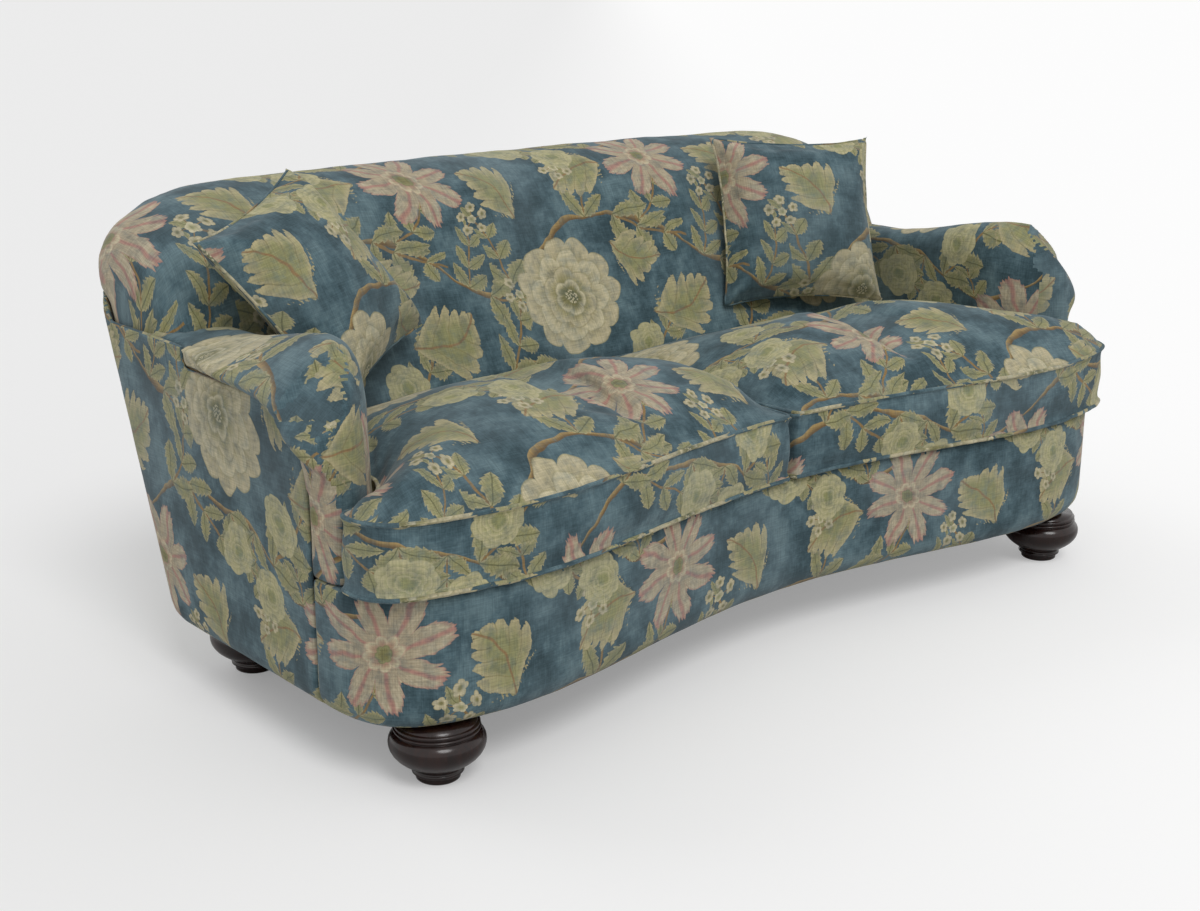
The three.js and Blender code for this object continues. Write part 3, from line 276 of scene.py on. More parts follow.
def leaf_colour(tree, x, y, depth_in):
    """Green in the middle of a leaf and straw at its edge, with a midrib and slanting veins."""
    across = add(tree, "Math.ABSOLUTE", y)
    shade = graded(tree, depth_in, 0.01, 0.09, "#a8a07a", SAGE)
    slant = add(tree, "Math.SUBTRACT", *(add(tree, "Math.MULTIPLY", way, 9.0) for way in (x, across)))
    shade = inked(tree, shade, OLIVE, add(tree, "Math.PINGPONG", slant, 0.5), 0.0, 0.16, 0.7)
    return inked(tree, shade, MOSS, across, 0.008, 0.022, 0.9)


def twig_group(rows):
    """A curved twig with pairs of leaves that get smaller, and a leaf at its tip."""
    tree, drawn, outward, (middle_x, y), _ = motif_group("leafy twig", rows)
    x = add(tree, "Math.ADD", middle_x, 0.5)
    bend = add(tree, "Math.MULTIPLY", add(tree, "Math.MULTIPLY", x, x), TWIG_BEND)
    offset = add(tree, "Math.SUBTRACT", y, bend)
    across = add(tree, "Math.ABSOLUTE", offset)
    room = add(tree, "Math.MULTIPLY", x, add(tree, "Math.SUBTRACT", 1.02, x))
    half = add(tree, "Math.MINIMUM", add(tree, "Math.MULTIPLY", room, 0.5), 0.016)
    drawn = laid(tree, drawn, BRANCH, add(tree, "Math.SUBTRACT", half, across), 0.006)

    # Each pair is one leaf, drawn on both sides of the stem at a slant.
    pairs, slope = 3, math.radians(46)
    scaled = add(tree, "Math.MULTIPLY", x, pairs)
    index = add(tree, "Math.FLOOR", scaled)
    size = add(tree, "Math.MULTIPLY", add(tree, "Math.MULTIPLY_ADD", index, -0.2, 1.3), 0.36)
    step = add(tree, "Math.MULTIPLY", add(tree, "Math.FRACT", scaled), 1 / pairs)
    along, aside = add(tree, "Math.DIVIDE", step, size), add(tree, "Math.DIVIDE", across, size)
    rise, run = math.sin(slope), math.cos(slope)
    leaf_x = add(tree, "Math.MULTIPLY_ADD", aside, rise, add(tree, "Math.MULTIPLY", along, run))
    leaf_y = add(tree, "Math.MULTIPLY_ADD", along, -rise, add(tree, "Math.MULTIPLY", aside, run))
    depth_in = leaf_shape(tree, leaf_x, leaf_y, 0.26, 6.0)
    begun, ended = add(tree, "Math.GREATER_THAN", x, 0.0), add(tree, "Math.LESS_THAN", x, 0.999)
    held = add(tree, "Math.MULTIPLY", begun, ended)
    mask = add(tree, "Math.MULTIPLY", soft_edge(tree, depth_in, 0.03), held)
    drawn = add(tree, "Mix.RGBA", mask, drawn, leaf_colour(tree, leaf_x, leaf_y, depth_in))

    tip_x = add(tree, "Math.DIVIDE", add(tree, "Math.SUBTRACT", x, 0.96), 0.26)
    tip_y = add(tree, "Math.DIVIDE", offset, 0.26)
    tip = leaf_shape(tree, tip_x, tip_y, 0.27, 6.0)
    drawn = laid(tree, drawn, leaf_colour(tree, tip_x, tip_y, tip), tip, 0.03)
    return finish_group(tree, outward, drawn)


def broad_leaf_group(rows):
    """A big lobed leaf, straw at its ragged edge and green along its ribs."""
    tree, under, outward, (middle_x, y), _ = motif_group("broad lobed leaf", rows)
    ribs = 4.5
    x = add(tree, "Math.MULTIPLY_ADD", middle_x, 0.5, 0.5)
    squared = add(tree, "Math.MULTIPLY", middle_x, middle_x)
    bent = add(tree, "Math.MULTIPLY_ADD", squared, -0.16, add(tree, "Math.MULTIPLY", y, 0.5))
    across = add(tree, "Math.ABSOLUTE", bent)
    rise = add(tree, "Math.MULTIPLY", x, add(tree, "Math.SUBTRACT", 1.0, x))
    arch = add(tree, "Math.MULTIPLY", rise, 1.75)
    slant = add(tree, "Math.MULTIPLY_ADD", across, -1.0, x)
    wave = add(tree, "Math.SINE", add(tree, "Math.MULTIPLY", slant, ribs * math.pi))
    notched = add(tree, "Math.MULTIPLY_ADD", add(tree, "Math.ABSOLUTE", wave), 0.34, 0.66)
    ragged = add(tree, "TexNoise", add(tree, "CombineXYZ", x, y), 16.0, 1.0, noise_dimensions="2D")
    torn = add(tree, "Math.MULTIPLY_ADD", ragged, 0.09, -0.045)
    edge = add(tree, "Math.ADD", add(tree, "Math.MULTIPLY", arch, notched), torn)
    depth_in = add(tree, "Math.SUBTRACT", edge, across)
    shade = graded(tree, depth_in, 0.04, 0.24, "#b0a681", "#8f8e64")
    rib = add(tree, "Math.PINGPONG", add(tree, "Math.MULTIPLY", slant, ribs), 0.5)
    shade = inked(tree, shade, OLIVE, rib, 0.0, 0.09, 0.75)
    shade = inked(tree, shade, "#8d6f4c", across, 0.006, 0.02, 0.9)
    shade = inked(tree, shade, "#8d7f57", depth_in, 0.0, 0.018, 0.5)
    return finish_group(tree, outward, laid(tree, under, shade, depth_in, 0.012))


def cluster_group(rows):
    """Small five-petalled blossoms on short stalks round a twig's end."""
    tree, drawn, outward, _, (radius, angle) = motif_group("blossom cluster", rows)
    blossoms, stalk_length = 5, 0.7
    sector = math.tau / blossoms
    local = add(tree, "Math.WRAP", angle, sector / 2, -sector / 2)
    px = add(tree, "Math.MULTIPLY", radius, add(tree, "Math.COSINE", local))
    py = add(tree, "Math.MULTIPLY", radius, add(tree, "Math.SINE", local))
    stalk = soft_edge(tree, add(tree, "Math.SUBTRACT", 0.02, add(tree, "Math.ABSOLUTE", py)), 0.012)
    short = soft_edge(tree, add(tree, "Math.SUBTRACT", stalk_length, radius), 0.02)
    drawn = add(tree, "Mix.RGBA", add(tree, "Math.MULTIPLY", stalk, short), drawn, BRANCH)

    out = add(tree, "Math.SUBTRACT", px, 0.68)
    own_radius = add(tree, "VectorMath.LENGTH", add(tree, "CombineXYZ", out, py))
    own_angle = add(tree, "Math.ARCTAN2", py, out)
    lobe = add(tree, "Math.MULTIPLY", lobes(tree, own_angle, 5, 0.0, 0.34, 0.6), 0.3)
    depth_in = add(tree, "Math.SUBTRACT", lobe, own_radius)
    shade = graded(tree, own_radius, 0.05, 0.15, OLIVE, CREAM)
    shade = inked(tree, shade, "#8f8860", depth_in, 0.0, 0.04, 0.7)
    drawn = laid(tree, drawn, shade, depth_in, 0.02)

    bud = add(tree, "Math.MULTIPLY", lobes(tree, angle, 5, 0.6, 0.3, 0.6), 0.26)
    shade = graded(tree, radius, 0.04, 0.2, SAGE, STRAW)
    drawn = laid(tree, drawn, shade, add(tree, "Math.SUBTRACT", bud, radius), 0.02)
    return finish_group(tree, outward, drawn)


def branch_group():
    """A long wandering branch that joins up with itself at the repeat, lit along its upper side."""
    inputs = {"Cloth": "Vector", "Under": "Color"}
    inputs |= dict.fromkeys(("Height", "Sway", "Start", "Thickness"), "Float")
    tree, inward, outward = shader_group("wandering branch", inputs, {"Over": "Color"})
    given = inward.outputs
    parts = add(tree, "SeparateXYZ", given["Cloth"])
    turn = add(tree, "Math.MULTIPLY_ADD", parts.outputs["X"], math.tau / REPEAT[0], given["Start"])
    sway = add(tree, "Math.MULTIPLY", add(tree, "Math.SINE", turn), given["Sway"])
    ripple = add(tree, "Math.SINE", add(tree, "Math.MULTIPLY_ADD", turn, 2.0, 1.0))
    middle = add(tree, "Math.ADD", sway, given["Height"])
    path = add(tree, "Math.MULTIPLY_ADD", ripple, BRANCH_RIPPLE, middle)
    above = add(tree, "Math.SUBTRACT", parts.outputs["Y"], path)
    off = add(tree, "Math.WRAP", above, REPEAT[1] / 2, -REPEAT[1] / 2)
    thrice = add(tree, "Math.SINE", add(tree, "Math.MULTIPLY", turn, 3.0))
    half = add(tree, "Math.MULTIPLY", add(tree, "Math.MULTIPLY_ADD", thrice, 0.3, 1.0), given["Thickness"])
    depth_in = add(tree, "Math.SUBTRACT", half, add(tree, "Math.ABSOLUTE", off))
    shade = graded(tree, add(tree, "Math.DIVIDE", off, half), -0.6, 0.9, BARK, "#a58c5c")
    return finish_group(tree, outward, laid(tree, given["Under"], shade, depth_in, 0.0015))


def ground_colour(tree, cloth):
    """Garment-washed blue: patches about 110 mm across, with finer and finer mottle inside them."""
    cloud = add(tree, "TexNoise", cloth, 9.0, 5.0, 0.72, noise_dimensions="2D")
    base = graded(tree, cloud, 0.36, 0.52, GROUND_DARK, GROUND_MID)
    light = add(tree, "MapRange", cloud, 0.5, 0.66, 0.0, 0.85)
    return add(tree, "Mix.RGBA", light, base, GROUND_LIGHT)


def branch_height(branch, x):
    """How high on the cloth a branch is, as branch_group draws it."""
    height, sway, start, _ = BRANCHES[branch]
    turn = x * math.tau / REPEAT[0] + start
    return height + sway * math.sin(turn) + BRANCH_RIPPLE * math.sin(2 * turn + 1)


def grown():
    """Rows for the twigs, and for the flowers at their tips, from where each leaves its branch."""
    twigs, tips = ([], []), {"rose": [], "cluster": []}
    for i, (branch, x, turn, length, tip) in enumerate(GROWTH):
        start = np.array([x, branch_height(branch, x)])
        way = np.array([math.cos(math.radians(turn)), math.sin(math.radians(turn))])
        side = np.array([-way[1], way[0]])
        twigs[i % 2].append((*(start + length * 0.5 * way), turn, length))
        if tip:
            tips[tip].append((*(start + length * (way + TWIG_BEND * side)), turn, TIP_SIZES[tip]))
    return twigs, tips


def print_group():
    """The whole print: ground, branches, twigs and flowers, from the back to the front, then washed thin."""
    tree, inward, outward = shader_group("floral print", {"Cloth": "Vector"}, {"Colour": "Color"})
    cloth = inward.outputs["Cloth"]
    # A hand-drawn line drifts: up to 25 mm over 200 mm of cloth, and 6 mm over 45 mm.
    drawn_at = cloth
    for scale, reach in ((5.0, 0.05), (22.0, 0.012)):
        drift = add(tree, "TexNoise", cloth, scale, 1.0, 0.5, noise_dimensions="2D")
        centred = add(tree, "VectorMath.SUBTRACT", drift.outputs["Color"], (0.5, 0.5, 0.5))
        shaken = add(tree, "VectorMath.MULTIPLY", centred, (reach, reach, 0.0))
        drawn_at = add(tree, "VectorMath.ADD", drawn_at, shaken)
    drawn = ground = ground_colour(tree, cloth)
    branch = branch_group()
    for values in BRANCHES:
        drawn = add(tree, "Group", drawn_at, drawn, *values, node_tree=branch)
    twigs, tips = grown()
    layers = [twig_group(rows) for rows in twigs]
    layers += [broad_leaf_group(BROAD_LEAVES), cluster_group(tips["cluster"]), rose_group(tips["rose"])]
    layers += [star_group(STARS), bloom_group(BLOOMS)]
    for layer in layers:
        drawn = add(tree, "Group", drawn_at, drawn, node_tree=layer)
    # The wash takes ink off in flecks of about 26 mm and finer.
    wash = add(tree, "TexNoise", cloth, 38.0, 4.0, 0.7, noise_dimensions="2D")
    thin = add(tree, "MapRange", wash, 0.42, 0.72, 0.0, 0.45)
    return finish_group(tree, outward, add(tree, "Mix.RGBA", thin, drawn, ground))


# Materials


def material(name):
    """An empty node material with its shader and output."""
    made = bpy.data.materials.new(name)
    made.use_nodes = True
    tree = made.node_tree
    tree.nodes.clear()
    shader = add(tree, "BsdfPrincipled")
    add(tree, "OutputMaterial", shader)
    return made, tree, shader


def set_shader(shader, **values):
    """Sets a shader's sockets by name, with an underscore for each space. A node is joined to its socket."""
    for name, value in values.items():
        socket = shader.inputs[name.replace("_", " ")]
        if isinstance(value, bpy.types.Node):
            shader.id_data.links.new(first(value.outputs), socket)
        else:
            socket.default_value = value


THREAD = 0.0024  # about 0.6 mm in the real linen, but this is the finest that still shows
SLUB_LENGTH = 0.045


def weave(tree, cloth):
    """Plain weave from two sets of threads, uneven along their length, from 0 in the gaps to 1 on top."""
    threads = []
    parts = add(tree, "SeparateXYZ", cloth)
    x, y = parts.outputs["X"], parts.outputs["Y"]
    for across, along in ((x, y), (y, x)):
        counted = add(tree, "Math.DIVIDE", across, THREAD)
        place = add(tree, "CombineXYZ", counted, add(tree, "Math.DIVIDE", along, SLUB_LENGTH))
        threads.append(add(tree, "TexNoise", place, 1.0, 1.0, 0.6, noise_dimensions="2D"))
    return add(tree, "Math.MULTIPLY", add(tree, "Math.ADD", *threads), 0.5)


def printed_linen():
    """Linen, woven from uneven yarn, screen printed and garment washed. The eye gets a matt, soft cloth with
    thick and thin threads, cloudy ink, and places of about 400 mm that have faded to grey blue."""
    made, tree, shader = material("printed_washed_linen")
    cloth = add(tree, "UVMap", uv_map="cloth")
    ink = add(tree, "Group", cloth, node_tree=print_group())
    threads = weave(tree, cloth)
    # Painted shade in the thread gaps, painted highlight on thread tops, and the yarn's own uneven tone.
    woven = add(tree, "VectorMath.SCALE", ink, add(tree, "MapRange", threads, 0.3, 0.7, 0.8, 1.18))
    wear = add(tree, "TexNoise", cloth, 2.6, 2.0, 0.6, noise_dimensions="2D")
    faded = add(tree, "MapRange", wear, 0.45, 0.7, 0.0, 0.12)
    final = add(tree, "Mix.RGBA", faded, woven, "#8d9aa0")
    rough = add(tree, "MapRange", threads, 0.3, 0.7, 0.93, 0.8)
    bump = add(tree, "Bump", 0.35, 0.0008, None, threads)
    set_shader(shader, Base_Color=final, Roughness=rough, Normal=bump)
    set_shader(shader, Sheen_Weight=0.12, Sheen_Roughness=0.5, Specular_IOR_Level=0.25)
    return made


def wood(name, dark, light, grain, roughness, coat, relief):
    """Turned or sawn hardwood. The eye gets long grain, twelve times longer than it is wide, with fine pores,
    and a finish that shines unevenly. grain is the width of a band of it."""
    made, tree, shader = material(name)
    place = add(tree, "TexCoord").outputs["Object"]
    stretched = add(tree, "Mapping", place, None, None, (1 / grain, 1 / grain, 1 / (12 * grain)))
    lines = add(tree, "TexNoise", stretched, 1.0, 4.0, 0.6, None, 0.8)
    pores = add(tree, "TexNoise", stretched, 5.0, 2.0)
    base = graded(tree, lines, 0.35, 0.65, dark, light)
    rough = add(tree, "MapRange", pores, 0.3, 0.7, roughness, roughness + 0.12)
    bump = add(tree, "Bump", relief, 0.0004, None, lines)
    set_shader(shader, Base_Color=base, Roughness=rough, Normal=bump)
    set_shader(shader, Coat_Weight=coat, Coat_Roughness=0.08, Specular_IOR_Level=0.4)
    return made


def spring_steel():
    """Oil-tempered steel wire. The eye gets a dark grey metal, mottled every 5 or 6 mm by its drawing and a
    trace of oil."""
    made, tree, shader = material("oil_tempered_spring_steel")
    mottle = add(tree, "TexNoise", add(tree, "TexCoord").outputs["Object"], 180.0, 3.0)
    base = add(tree, "Mix.RGBA", mottle, "#4c4a47", "#84817b")
    rough = add(tree, "MapRange", mottle, 0.3, 0.7, 0.28, 0.5)
    set_shader(shader, Base_Color=base, Roughness=rough, Metallic=1.0)
    return made


def plain_cloth(name, dark, light, thread, sheen, relief):
    """A plain woven cloth of one colour. The eye gets matt threads and slubs of about 17 mm. The real threads
    are under 2 mm, too fine to show, so they are drawn as coarse as thread says."""
    made, tree, shader = material(name)
    place = add(tree, "TexCoord").outputs["Object"]
    parts = add(tree, "SeparateXYZ", place).outputs
    turns = [add(tree, "Math.MULTIPLY", parts[axis], math.tau / thread) for axis in ("X", "Y")]
    height = add(tree, "Math.MULTIPLY", *(add(tree, "Math.SINE", turn) for turn in turns))
    slubs = add(tree, "TexNoise", place, 60.0, 3.0)
    # Painted highlight on the weave's raised places, painted shade in its hollows, over the slubs' own tone.
    base = graded(tree, add(tree, "Math.MULTIPLY_ADD", height, 0.15, slubs), 0.3, 0.75, dark, light)
    rough = add(tree, "MapRange", slubs, 0.3, 0.7, 0.95, 0.82)
    bump = add(tree, "Bump", 0.4, relief, None, height)
    set_shader(shader, Base_Color=base, Roughness=rough, Normal=bump)
    set_shader(shader, Sheen_Weight=sheen, Specular_IOR_Level=0.2)
    return made


FINISHES = {
    "printed_linen": printed_linen(),
    # Beech stained nearly black and lacquered: a deep gloss with a soft edge, the grain barely felt.
    "foot_wood": wood(
        "espresso_lacquered_beech", "#150907", "#26120d", grain=0.012, roughness=0.16, coat=0.1, relief=0.03
    ),
    # Poplar as it leaves the saw: pale, dry, with open grain and no finish.
    "frame_wood": wood(
        "sawn_poplar", "#a98f68", "#c9b48c", grain=0.010, roughness=0.62, coat=0.0, relief=0.15
    ),
    "spring_steel": spring_steel(),
    # Cotton twill dyed near the linen's blue, a little napped.
    "deck_cloth": plain_cloth(
        "twill_decking", "#2f4152", "#435b70", thread=0.003, sheen=0.1, relief=0.0006
    ),
    # A thin glazed cotton, almost black, with no nap.
    "black_cambric": plain_cloth(
        "black_cambric", "#121315", "#24262a", thread=0.004, sheen=0.0, relief=0.0003
    ),
    # Coarse tan jute, thick threads that stand proud.
    "jute_webbing": plain_cloth(
        "jute_webbing", "#84673e", "#b39462", thread=0.005, sheen=0.0, relief=0.0012
    ),
}


# Mesh helpers


def dress(mesh, finish):
    """Gives a mesh one finish and no other."""
    mesh.materials.clear()
    mesh.materials.append(FINISHES[finish])


def new_piece(name, mesh, finish):
    piece = bpy.data.objects.new(name, mesh)
    scene.collection.objects.link(piece)
    dress(mesh, finish)
    return piece


def settle(piece, body):
    """Shades a finished piece smooth and hangs it on its body."""
    piece.data.shade_smooth()
    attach(piece, body)


def pad(piece, body, nodes):
    """Settles a stuffed piece and hides the CAD nodes that it stands for."""
    settle(piece, body)
    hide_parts(*nodes)


def modify(piece, kind, **settings):
    modifier = piece.modifiers.new(kind.lower(), kind)
    for name, value in settings.items():
        setattr(modifier, name, value)
    return modifier


def bake_modifiers(piece):
    """Makes a piece's modifiers final and drops them."""
    shaped = piece.evaluated_get(bpy.context.evaluated_depsgraph_get())
    mesh = bpy.data.meshes.new_from_object(shaped)
    piece.modifiers.clear()
    old, piece.data = piece.data, mesh
    bpy.data.meshes.remove(old)


def copied(nodes, merge):
    """CAD nodes as one shape with its corners merged, since their own meshes are loose triangles."""
    shape = bmesh.new()
    for node in nodes:
        shape.from_mesh(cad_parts[node].data)
    bmesh.ops.remove_doubles(shape, verts=shape.verts, dist=merge)
    return shape


def finished(shape, name):
    """A mesh from a shape, which is then freed."""
    mesh = bpy.data.meshes.new(name)
    shape.to_mesh(mesh)
    shape.free()
    return mesh


def padding_over(name, nodes, finish, voxel):
    """One even skin over CAD solids, which later gets its creases."""
    piece = new_piece(name, finished(copied(nodes, 1e-5), name), finish)
    modify(piece, "REMESH", mode="VOXEL", voxel_size=voxel, use_smooth_shade=True)
    modify(piece, "SMOOTH", factor=0.5, iterations=4)
    bake_modifiers(piece)
    dress(piece.data, finish)
    return piece


def numbers(items, key, size, kind=float):
    """One property of every item of a mesh, as an array with a row for each."""
    values = np.empty(len(items) * size, kind)
    items.foreach_get(key, values)
    return values.reshape(-1, size) if size > 1 else values


def points_of(mesh):
    return numbers(mesh.vertices, "co", 3)


def set_points(mesh, points):
    mesh.vertices.foreach_set("co", np.asarray(points, np.float32).ravel())
    mesh.update()


def creases(piece, amount, size):
    """Soft waves in padding, along its normals."""
    texture = bpy.data.textures.new(piece.name + "_creases", "CLOUDS")
    texture.noise_scale = size
    texture.noise_depth = 1
    modify(piece, "DISPLACE", texture=texture, strength=amount, mid_level=0.5, texture_coords="LOCAL")
    bake_modifiers(piece)
    bpy.data.textures.remove(texture)


# Laying the cloth: its own flat coordinates, in metres, on each cut panel


def unit(vectors):
    return vectors / np.maximum(np.linalg.norm(vectors, axis=-1, keepdims=True), 1e-9)


def lay_cloth(piece, panels, passes=400):
    """Gives a piece its flat cloth coordinates. panels says, from the faces' middles and normals, which
    panel each is on, and lists each panel's direction: "across" or "up", and the axis that it follows. Each
    edge of the mesh pulls its ends as far apart in the cloth as they are in the piece, and the rest is
    solved."""
    mesh = piece.data
    centres, normals = numbers(mesh.polygons, "center", 3), numbers(mesh.polygons, "normal", 3)
    panel_of, directions = panels(centres, normals)
    across = np.zeros_like(normals)
    for index, (way, axis) in enumerate(directions):
        on = panel_of == index
        n = normals[on]
        axis = np.asarray(axis, float)
        along = unit(axis - (n @ axis)[:, None] * n)
        across[on] = along if way == "across" else np.cross(along, n)
    up = np.cross(normals, across)

    # A corner of the cloth is a point of the mesh on one panel. A face's edges run from corner a to corner b.
    vertex = numbers(mesh.loops, "vertex_index", 1, np.int64)
    starts = numbers(mesh.polygons, "loop_start", 1, np.int64)
    totals = numbers(mesh.polygons, "loop_total", 1, np.int64)
    face = np.repeat(np.arange(len(totals)), totals)
    following = np.arange(len(vertex)) + 1
    following[starts + totals - 1] = starts
    corner, own = np.unique(vertex * len(directions) + panel_of[face], return_inverse=True)
    own = own.reshape(-1)
    a, b = own, own[following]
    points = points_of(mesh)
    edge = points[vertex[following]] - points[vertex]
    count = len(corner)
    pulls = np.bincount(a, minlength=count) + np.bincount(b, minlength=count)

    def gathered(gaps):
        return np.bincount(b, gaps, count) - np.bincount(a, gaps, count)

    # Conjugate gradients, from the piece's own coordinates, for across the cloth and then up it.
    flat = np.empty((count, 2))
    for k, direction in enumerate((across, up)):
        laid_at = np.zeros(count)
        laid_at[own] = np.einsum("ij,ij->i", direction[face], points[vertex])
        rest = gathered(np.einsum("ij,ij->i", direction[face], edge)) - gathered(laid_at[b] - laid_at[a])
        scaled = rest / pulls
        step, size = scaled.copy(), rest @ scaled
        for _ in range(passes):
            if size < 1e-12:
                break
            change = gathered(step[b] - step[a])
            share = size / (step @ change)
            laid_at += share * step
            rest -= share * change
            scaled = rest / pulls
            old_size, size = size, rest @ scaled
            step = scaled + (size / old_size) * step
        flat[:, k] = laid_at

    # Each panel lies where its middle is on the sofa, so that the print runs on from one to the next.
    panel_at = corner % len(directions)
    for index in range(len(directions)):
        on, mine = panel_of == index, panel_at == index
        if on.any():
            middle = centres[on].mean(0)
            for k, direction in enumerate((across, up)):
                flat[mine, k] += middle @ unit(direction[on].mean(0)) - flat[mine, k].mean()
    layer = mesh.uv_layers.get("cloth") or mesh.uv_layers.new(name="cloth")
    layer.data.foreach_set("uv", flat[own].astype(np.float32).ravel())


# Covers that are fixed to the frame

FEET_Y = sum(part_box("foot_front_right"), Vector()).y / 2
UNDERSIDE = 0.110
ROLL_BASE = 0.64
FRONT_UP_TO = -0.28
ALONG, UPWARDS = ("across", (1, 0, 0)), ("up", (0, 0, 1))
# The outside back in plan: how far behind the feet, half its width, its bow, and its lean for each metre up.
BACK_AT, BACK_HALF, BACK_BOW, BACK_LEAN = 0.730, 0.93, 0.04, 0.37


def back_panels(centres, normals):
    """The inside back is one piece of cloth over the crest. What faces the frame and the floor is apart."""
    x, y, z = centres.T
    bow = BACK_BOW * np.minimum(np.abs(x) / BACK_HALF, 1) ** 2
    outer = BACK_AT - bow + (z - UNDERSIDE) * BACK_LEAN + FEET_Y
    frame_side = (normals[:, 1] > 0.3) & (outer - y > 0.03) & (np.abs(x) < 0.9)
    return (frame_side | (normals[:, 2] < -0.75)).astype(int), [ALONG, ALONG]


def arm_panels(side):
    """The roll and inside arm are one piece of cloth, the arm's front is another, and the rest is hidden."""

    def panels(centres, normals):
        front = normals[:, 1] < -0.72
        frame_side = (normals[:, 0] * side > 0.5) & (centres[:, 2] < ROLL_BASE - 0.004)
        hidden = (normals[:, 2] < -0.7) | frame_side
        along_roll = ("across", (0, -side, 0))
        return np.where(hidden, 2, np.where(front, 1, 0)), [along_roll, ALONG, along_roll]

    return panels


def band_panels(centres, normals):
    """Covers round the base: what shows is one strip, and its underside and its inner side are apart."""
    x, y, _ = centres.T
    front = y < FRONT_UP_TO
    inner = front & (normals[:, 1] > 0.3) | (normals[:, 0] * np.sign(x) < -0.3)
    inner |= ~front & (normals[:, 1] < -0.2) & (np.abs(normals[:, 0]) < 0.9)
    level = np.abs(normals[:, 2]) > 0.8
    return np.where(level, 1, np.where(inner, 2, 0)), [UPWARDS, ALONG, UPWARDS]


def fixed_cover(name, nodes, panels, voxel, waves=0.003):
    """A padded cover on the frame, with broad waves of the depth given and shallower, closer ones."""
    piece = padding_over(name, nodes, "printed_linen", voxel)
    lay_cloth(piece, panels)
    creases(piece, waves, size=0.13)
    creases(piece, waves * 0.3, size=0.035)
    pad(piece, "sofa_frame", nodes)


fixed_cover("upholstered_inside_back", ["inside_back"], back_panels, voxel=0.010, waves=0.005)
fixed_cover("upholstered_front_border", ["front_border"], band_panels, voxel=0.008, waves=0.002)
# The panels round the outside are sewn to one another at the corners, so they are one cover.
OUTSIDE = ["outside_back", "outside_arm_right", "outside_arm_left"]
fixed_cover("upholstered_outside", OUTSIDE, band_panels, voxel=0.0075, waves=0.002)
for side_name, side in (("right", 1), ("left", -1)):
    fixed_cover(f"upholstered_arm_{side_name}", [f"arm_pad_{side_name}"], arm_panels(side), voxel=0.008)


# Loose cushions and pillows

SEAT_SEAMS = (0.3625, 0.4885)
SEAM_HOLD = 0.011
# What is taken in before filling, how far filling may move a point, and how full each is.
SEAT_FILLING = (0.006, 0.012, 0.75)
PILLOW_FILLING = (0.004, 0.008, 0.7)
PRESSURE = 4.0
FRAMES = 20


def cushion_panels(centres, normals):
    """Top, bottom and the boxing between the two seams, whose back strip is apart."""
    low, high = SEAT_SEAMS
    z = centres[:, 2]
    top, bottom = (z > high) | (normals[:, 2] > 0.8), (z < low) | (normals[:, 2] < -0.8)
    band = np.where(normals[:, 1] > 0.75, 3, 2)
    return np.where(top, 0, np.where(bottom, 1, band)), [ALONG, ALONG, UPWARDS, UPWARDS]


def pillow_axes(node):
    """A throw pillow's middle and own axes: across, up and out of its front."""
    points = points_of(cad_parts[node].data)
    _, ways = np.linalg.eigh(np.cov((points - points.mean(0)).T))
    normal = ways[:, 0] * (1 if ways[1, 0] < 0 else -1)
    up = unit(np.array([0, 0, 1.0]) - normal[2] * normal)
    return (points.max(0) + points.min(0)) / 2, np.cross(up, normal), normal


def pillow_panels(right, normal):
    """Front and back, which meet at the knife edge."""

    def panels(centres, normals):
        return np.where(normals @ normal > 0, 0, 1), [("across", tuple(right)), ("across", tuple(-right))]

    return panels


def ready_to_fill(piece, hold, shrink):
    """Takes a cover in a little and gives it Cloth with pressure. hold says how firmly each point stays."""
    mesh = piece.data
    outwards = numbers(mesh.vertices, "normal", 3)
    set_points(mesh, points_of(mesh) - outwards * (shrink * (1 - hold))[:, None])
    held = piece.vertex_groups.new(name="held")
    for index in np.flatnonzero(hold > 0.02):
        held.add([int(index)], float(hold[index]), "REPLACE")
    cloth = modify(piece, "CLOTH")
    for name, value in (
        ("quality", 4), ("mass", 0.35), ("tension_stiffness", 12), ("compression_stiffness", 12),
        ("shear_stiffness", 5), ("bending_stiffness", 1.5), ("vertex_group_mass", "held"),
        ("use_pressure", True), ("uniform_pressure_force", PRESSURE),
    ):
        setattr(cloth.settings, name, value)
    cloth.settings.effector_weights.gravity = 0
    cloth.collision_settings.use_collision = False
    cloth.point_cache.frame_start, cloth.point_cache.frame_end = 1, FRAMES


def filled(piece, before, reach):
    """Keeps the filled shape, with no point further than its reach from where the CAD has it."""
    bake_modifiers(piece)
    moved = points_of(piece.data) - before
    far = np.linalg.norm(moved, axis=1, keepdims=True)
    set_points(piece.data, before + moved * np.minimum(1, reach / np.maximum(far, 1e-9)))
    piece.vertex_groups.clear()


stuffed = []
for side_name in ("right", "left"):
    nodes = [f"seat_cushion_cover_{side_name}", f"seat_cushion_core_{side_name}"]
    cushion = padding_over(f"seat_cushion_{side_name}", nodes, "printed_linen", voxel=0.009)
    before = points_of(cushion.data)
    # A seam stays put, its hold fades out over SEAM_HOLD, and what is under the lower seam hardly moves.
    hold = np.maximum(*(np.clip(1 - np.abs(before[:, 2] - seam) / SEAM_HOLD, 0, 1) for seam in SEAT_SEAMS))
    hold = np.maximum(hold, (before[:, 2] < SEAT_SEAMS[0] - 0.001) * 0.9)
    stuffed.append((cushion, before, hold, cushion_panels, nodes, *SEAT_FILLING))
for side_name in ("right", "left"):
    nodes = [f"pillow_cover_{side_name}", f"pillow_insert_{side_name}"]
    pillow = padding_over(f"throw_pillow_{side_name}", nodes, "printed_linen", voxel=0.006)
    before = points_of(pillow.data)
    _, right, normal = pillow_axes(nodes[0])
    free = np.zeros(len(before))
    stuffed.append((pillow, before, free, pillow_panels(right, normal), nodes, *PILLOW_FILLING))

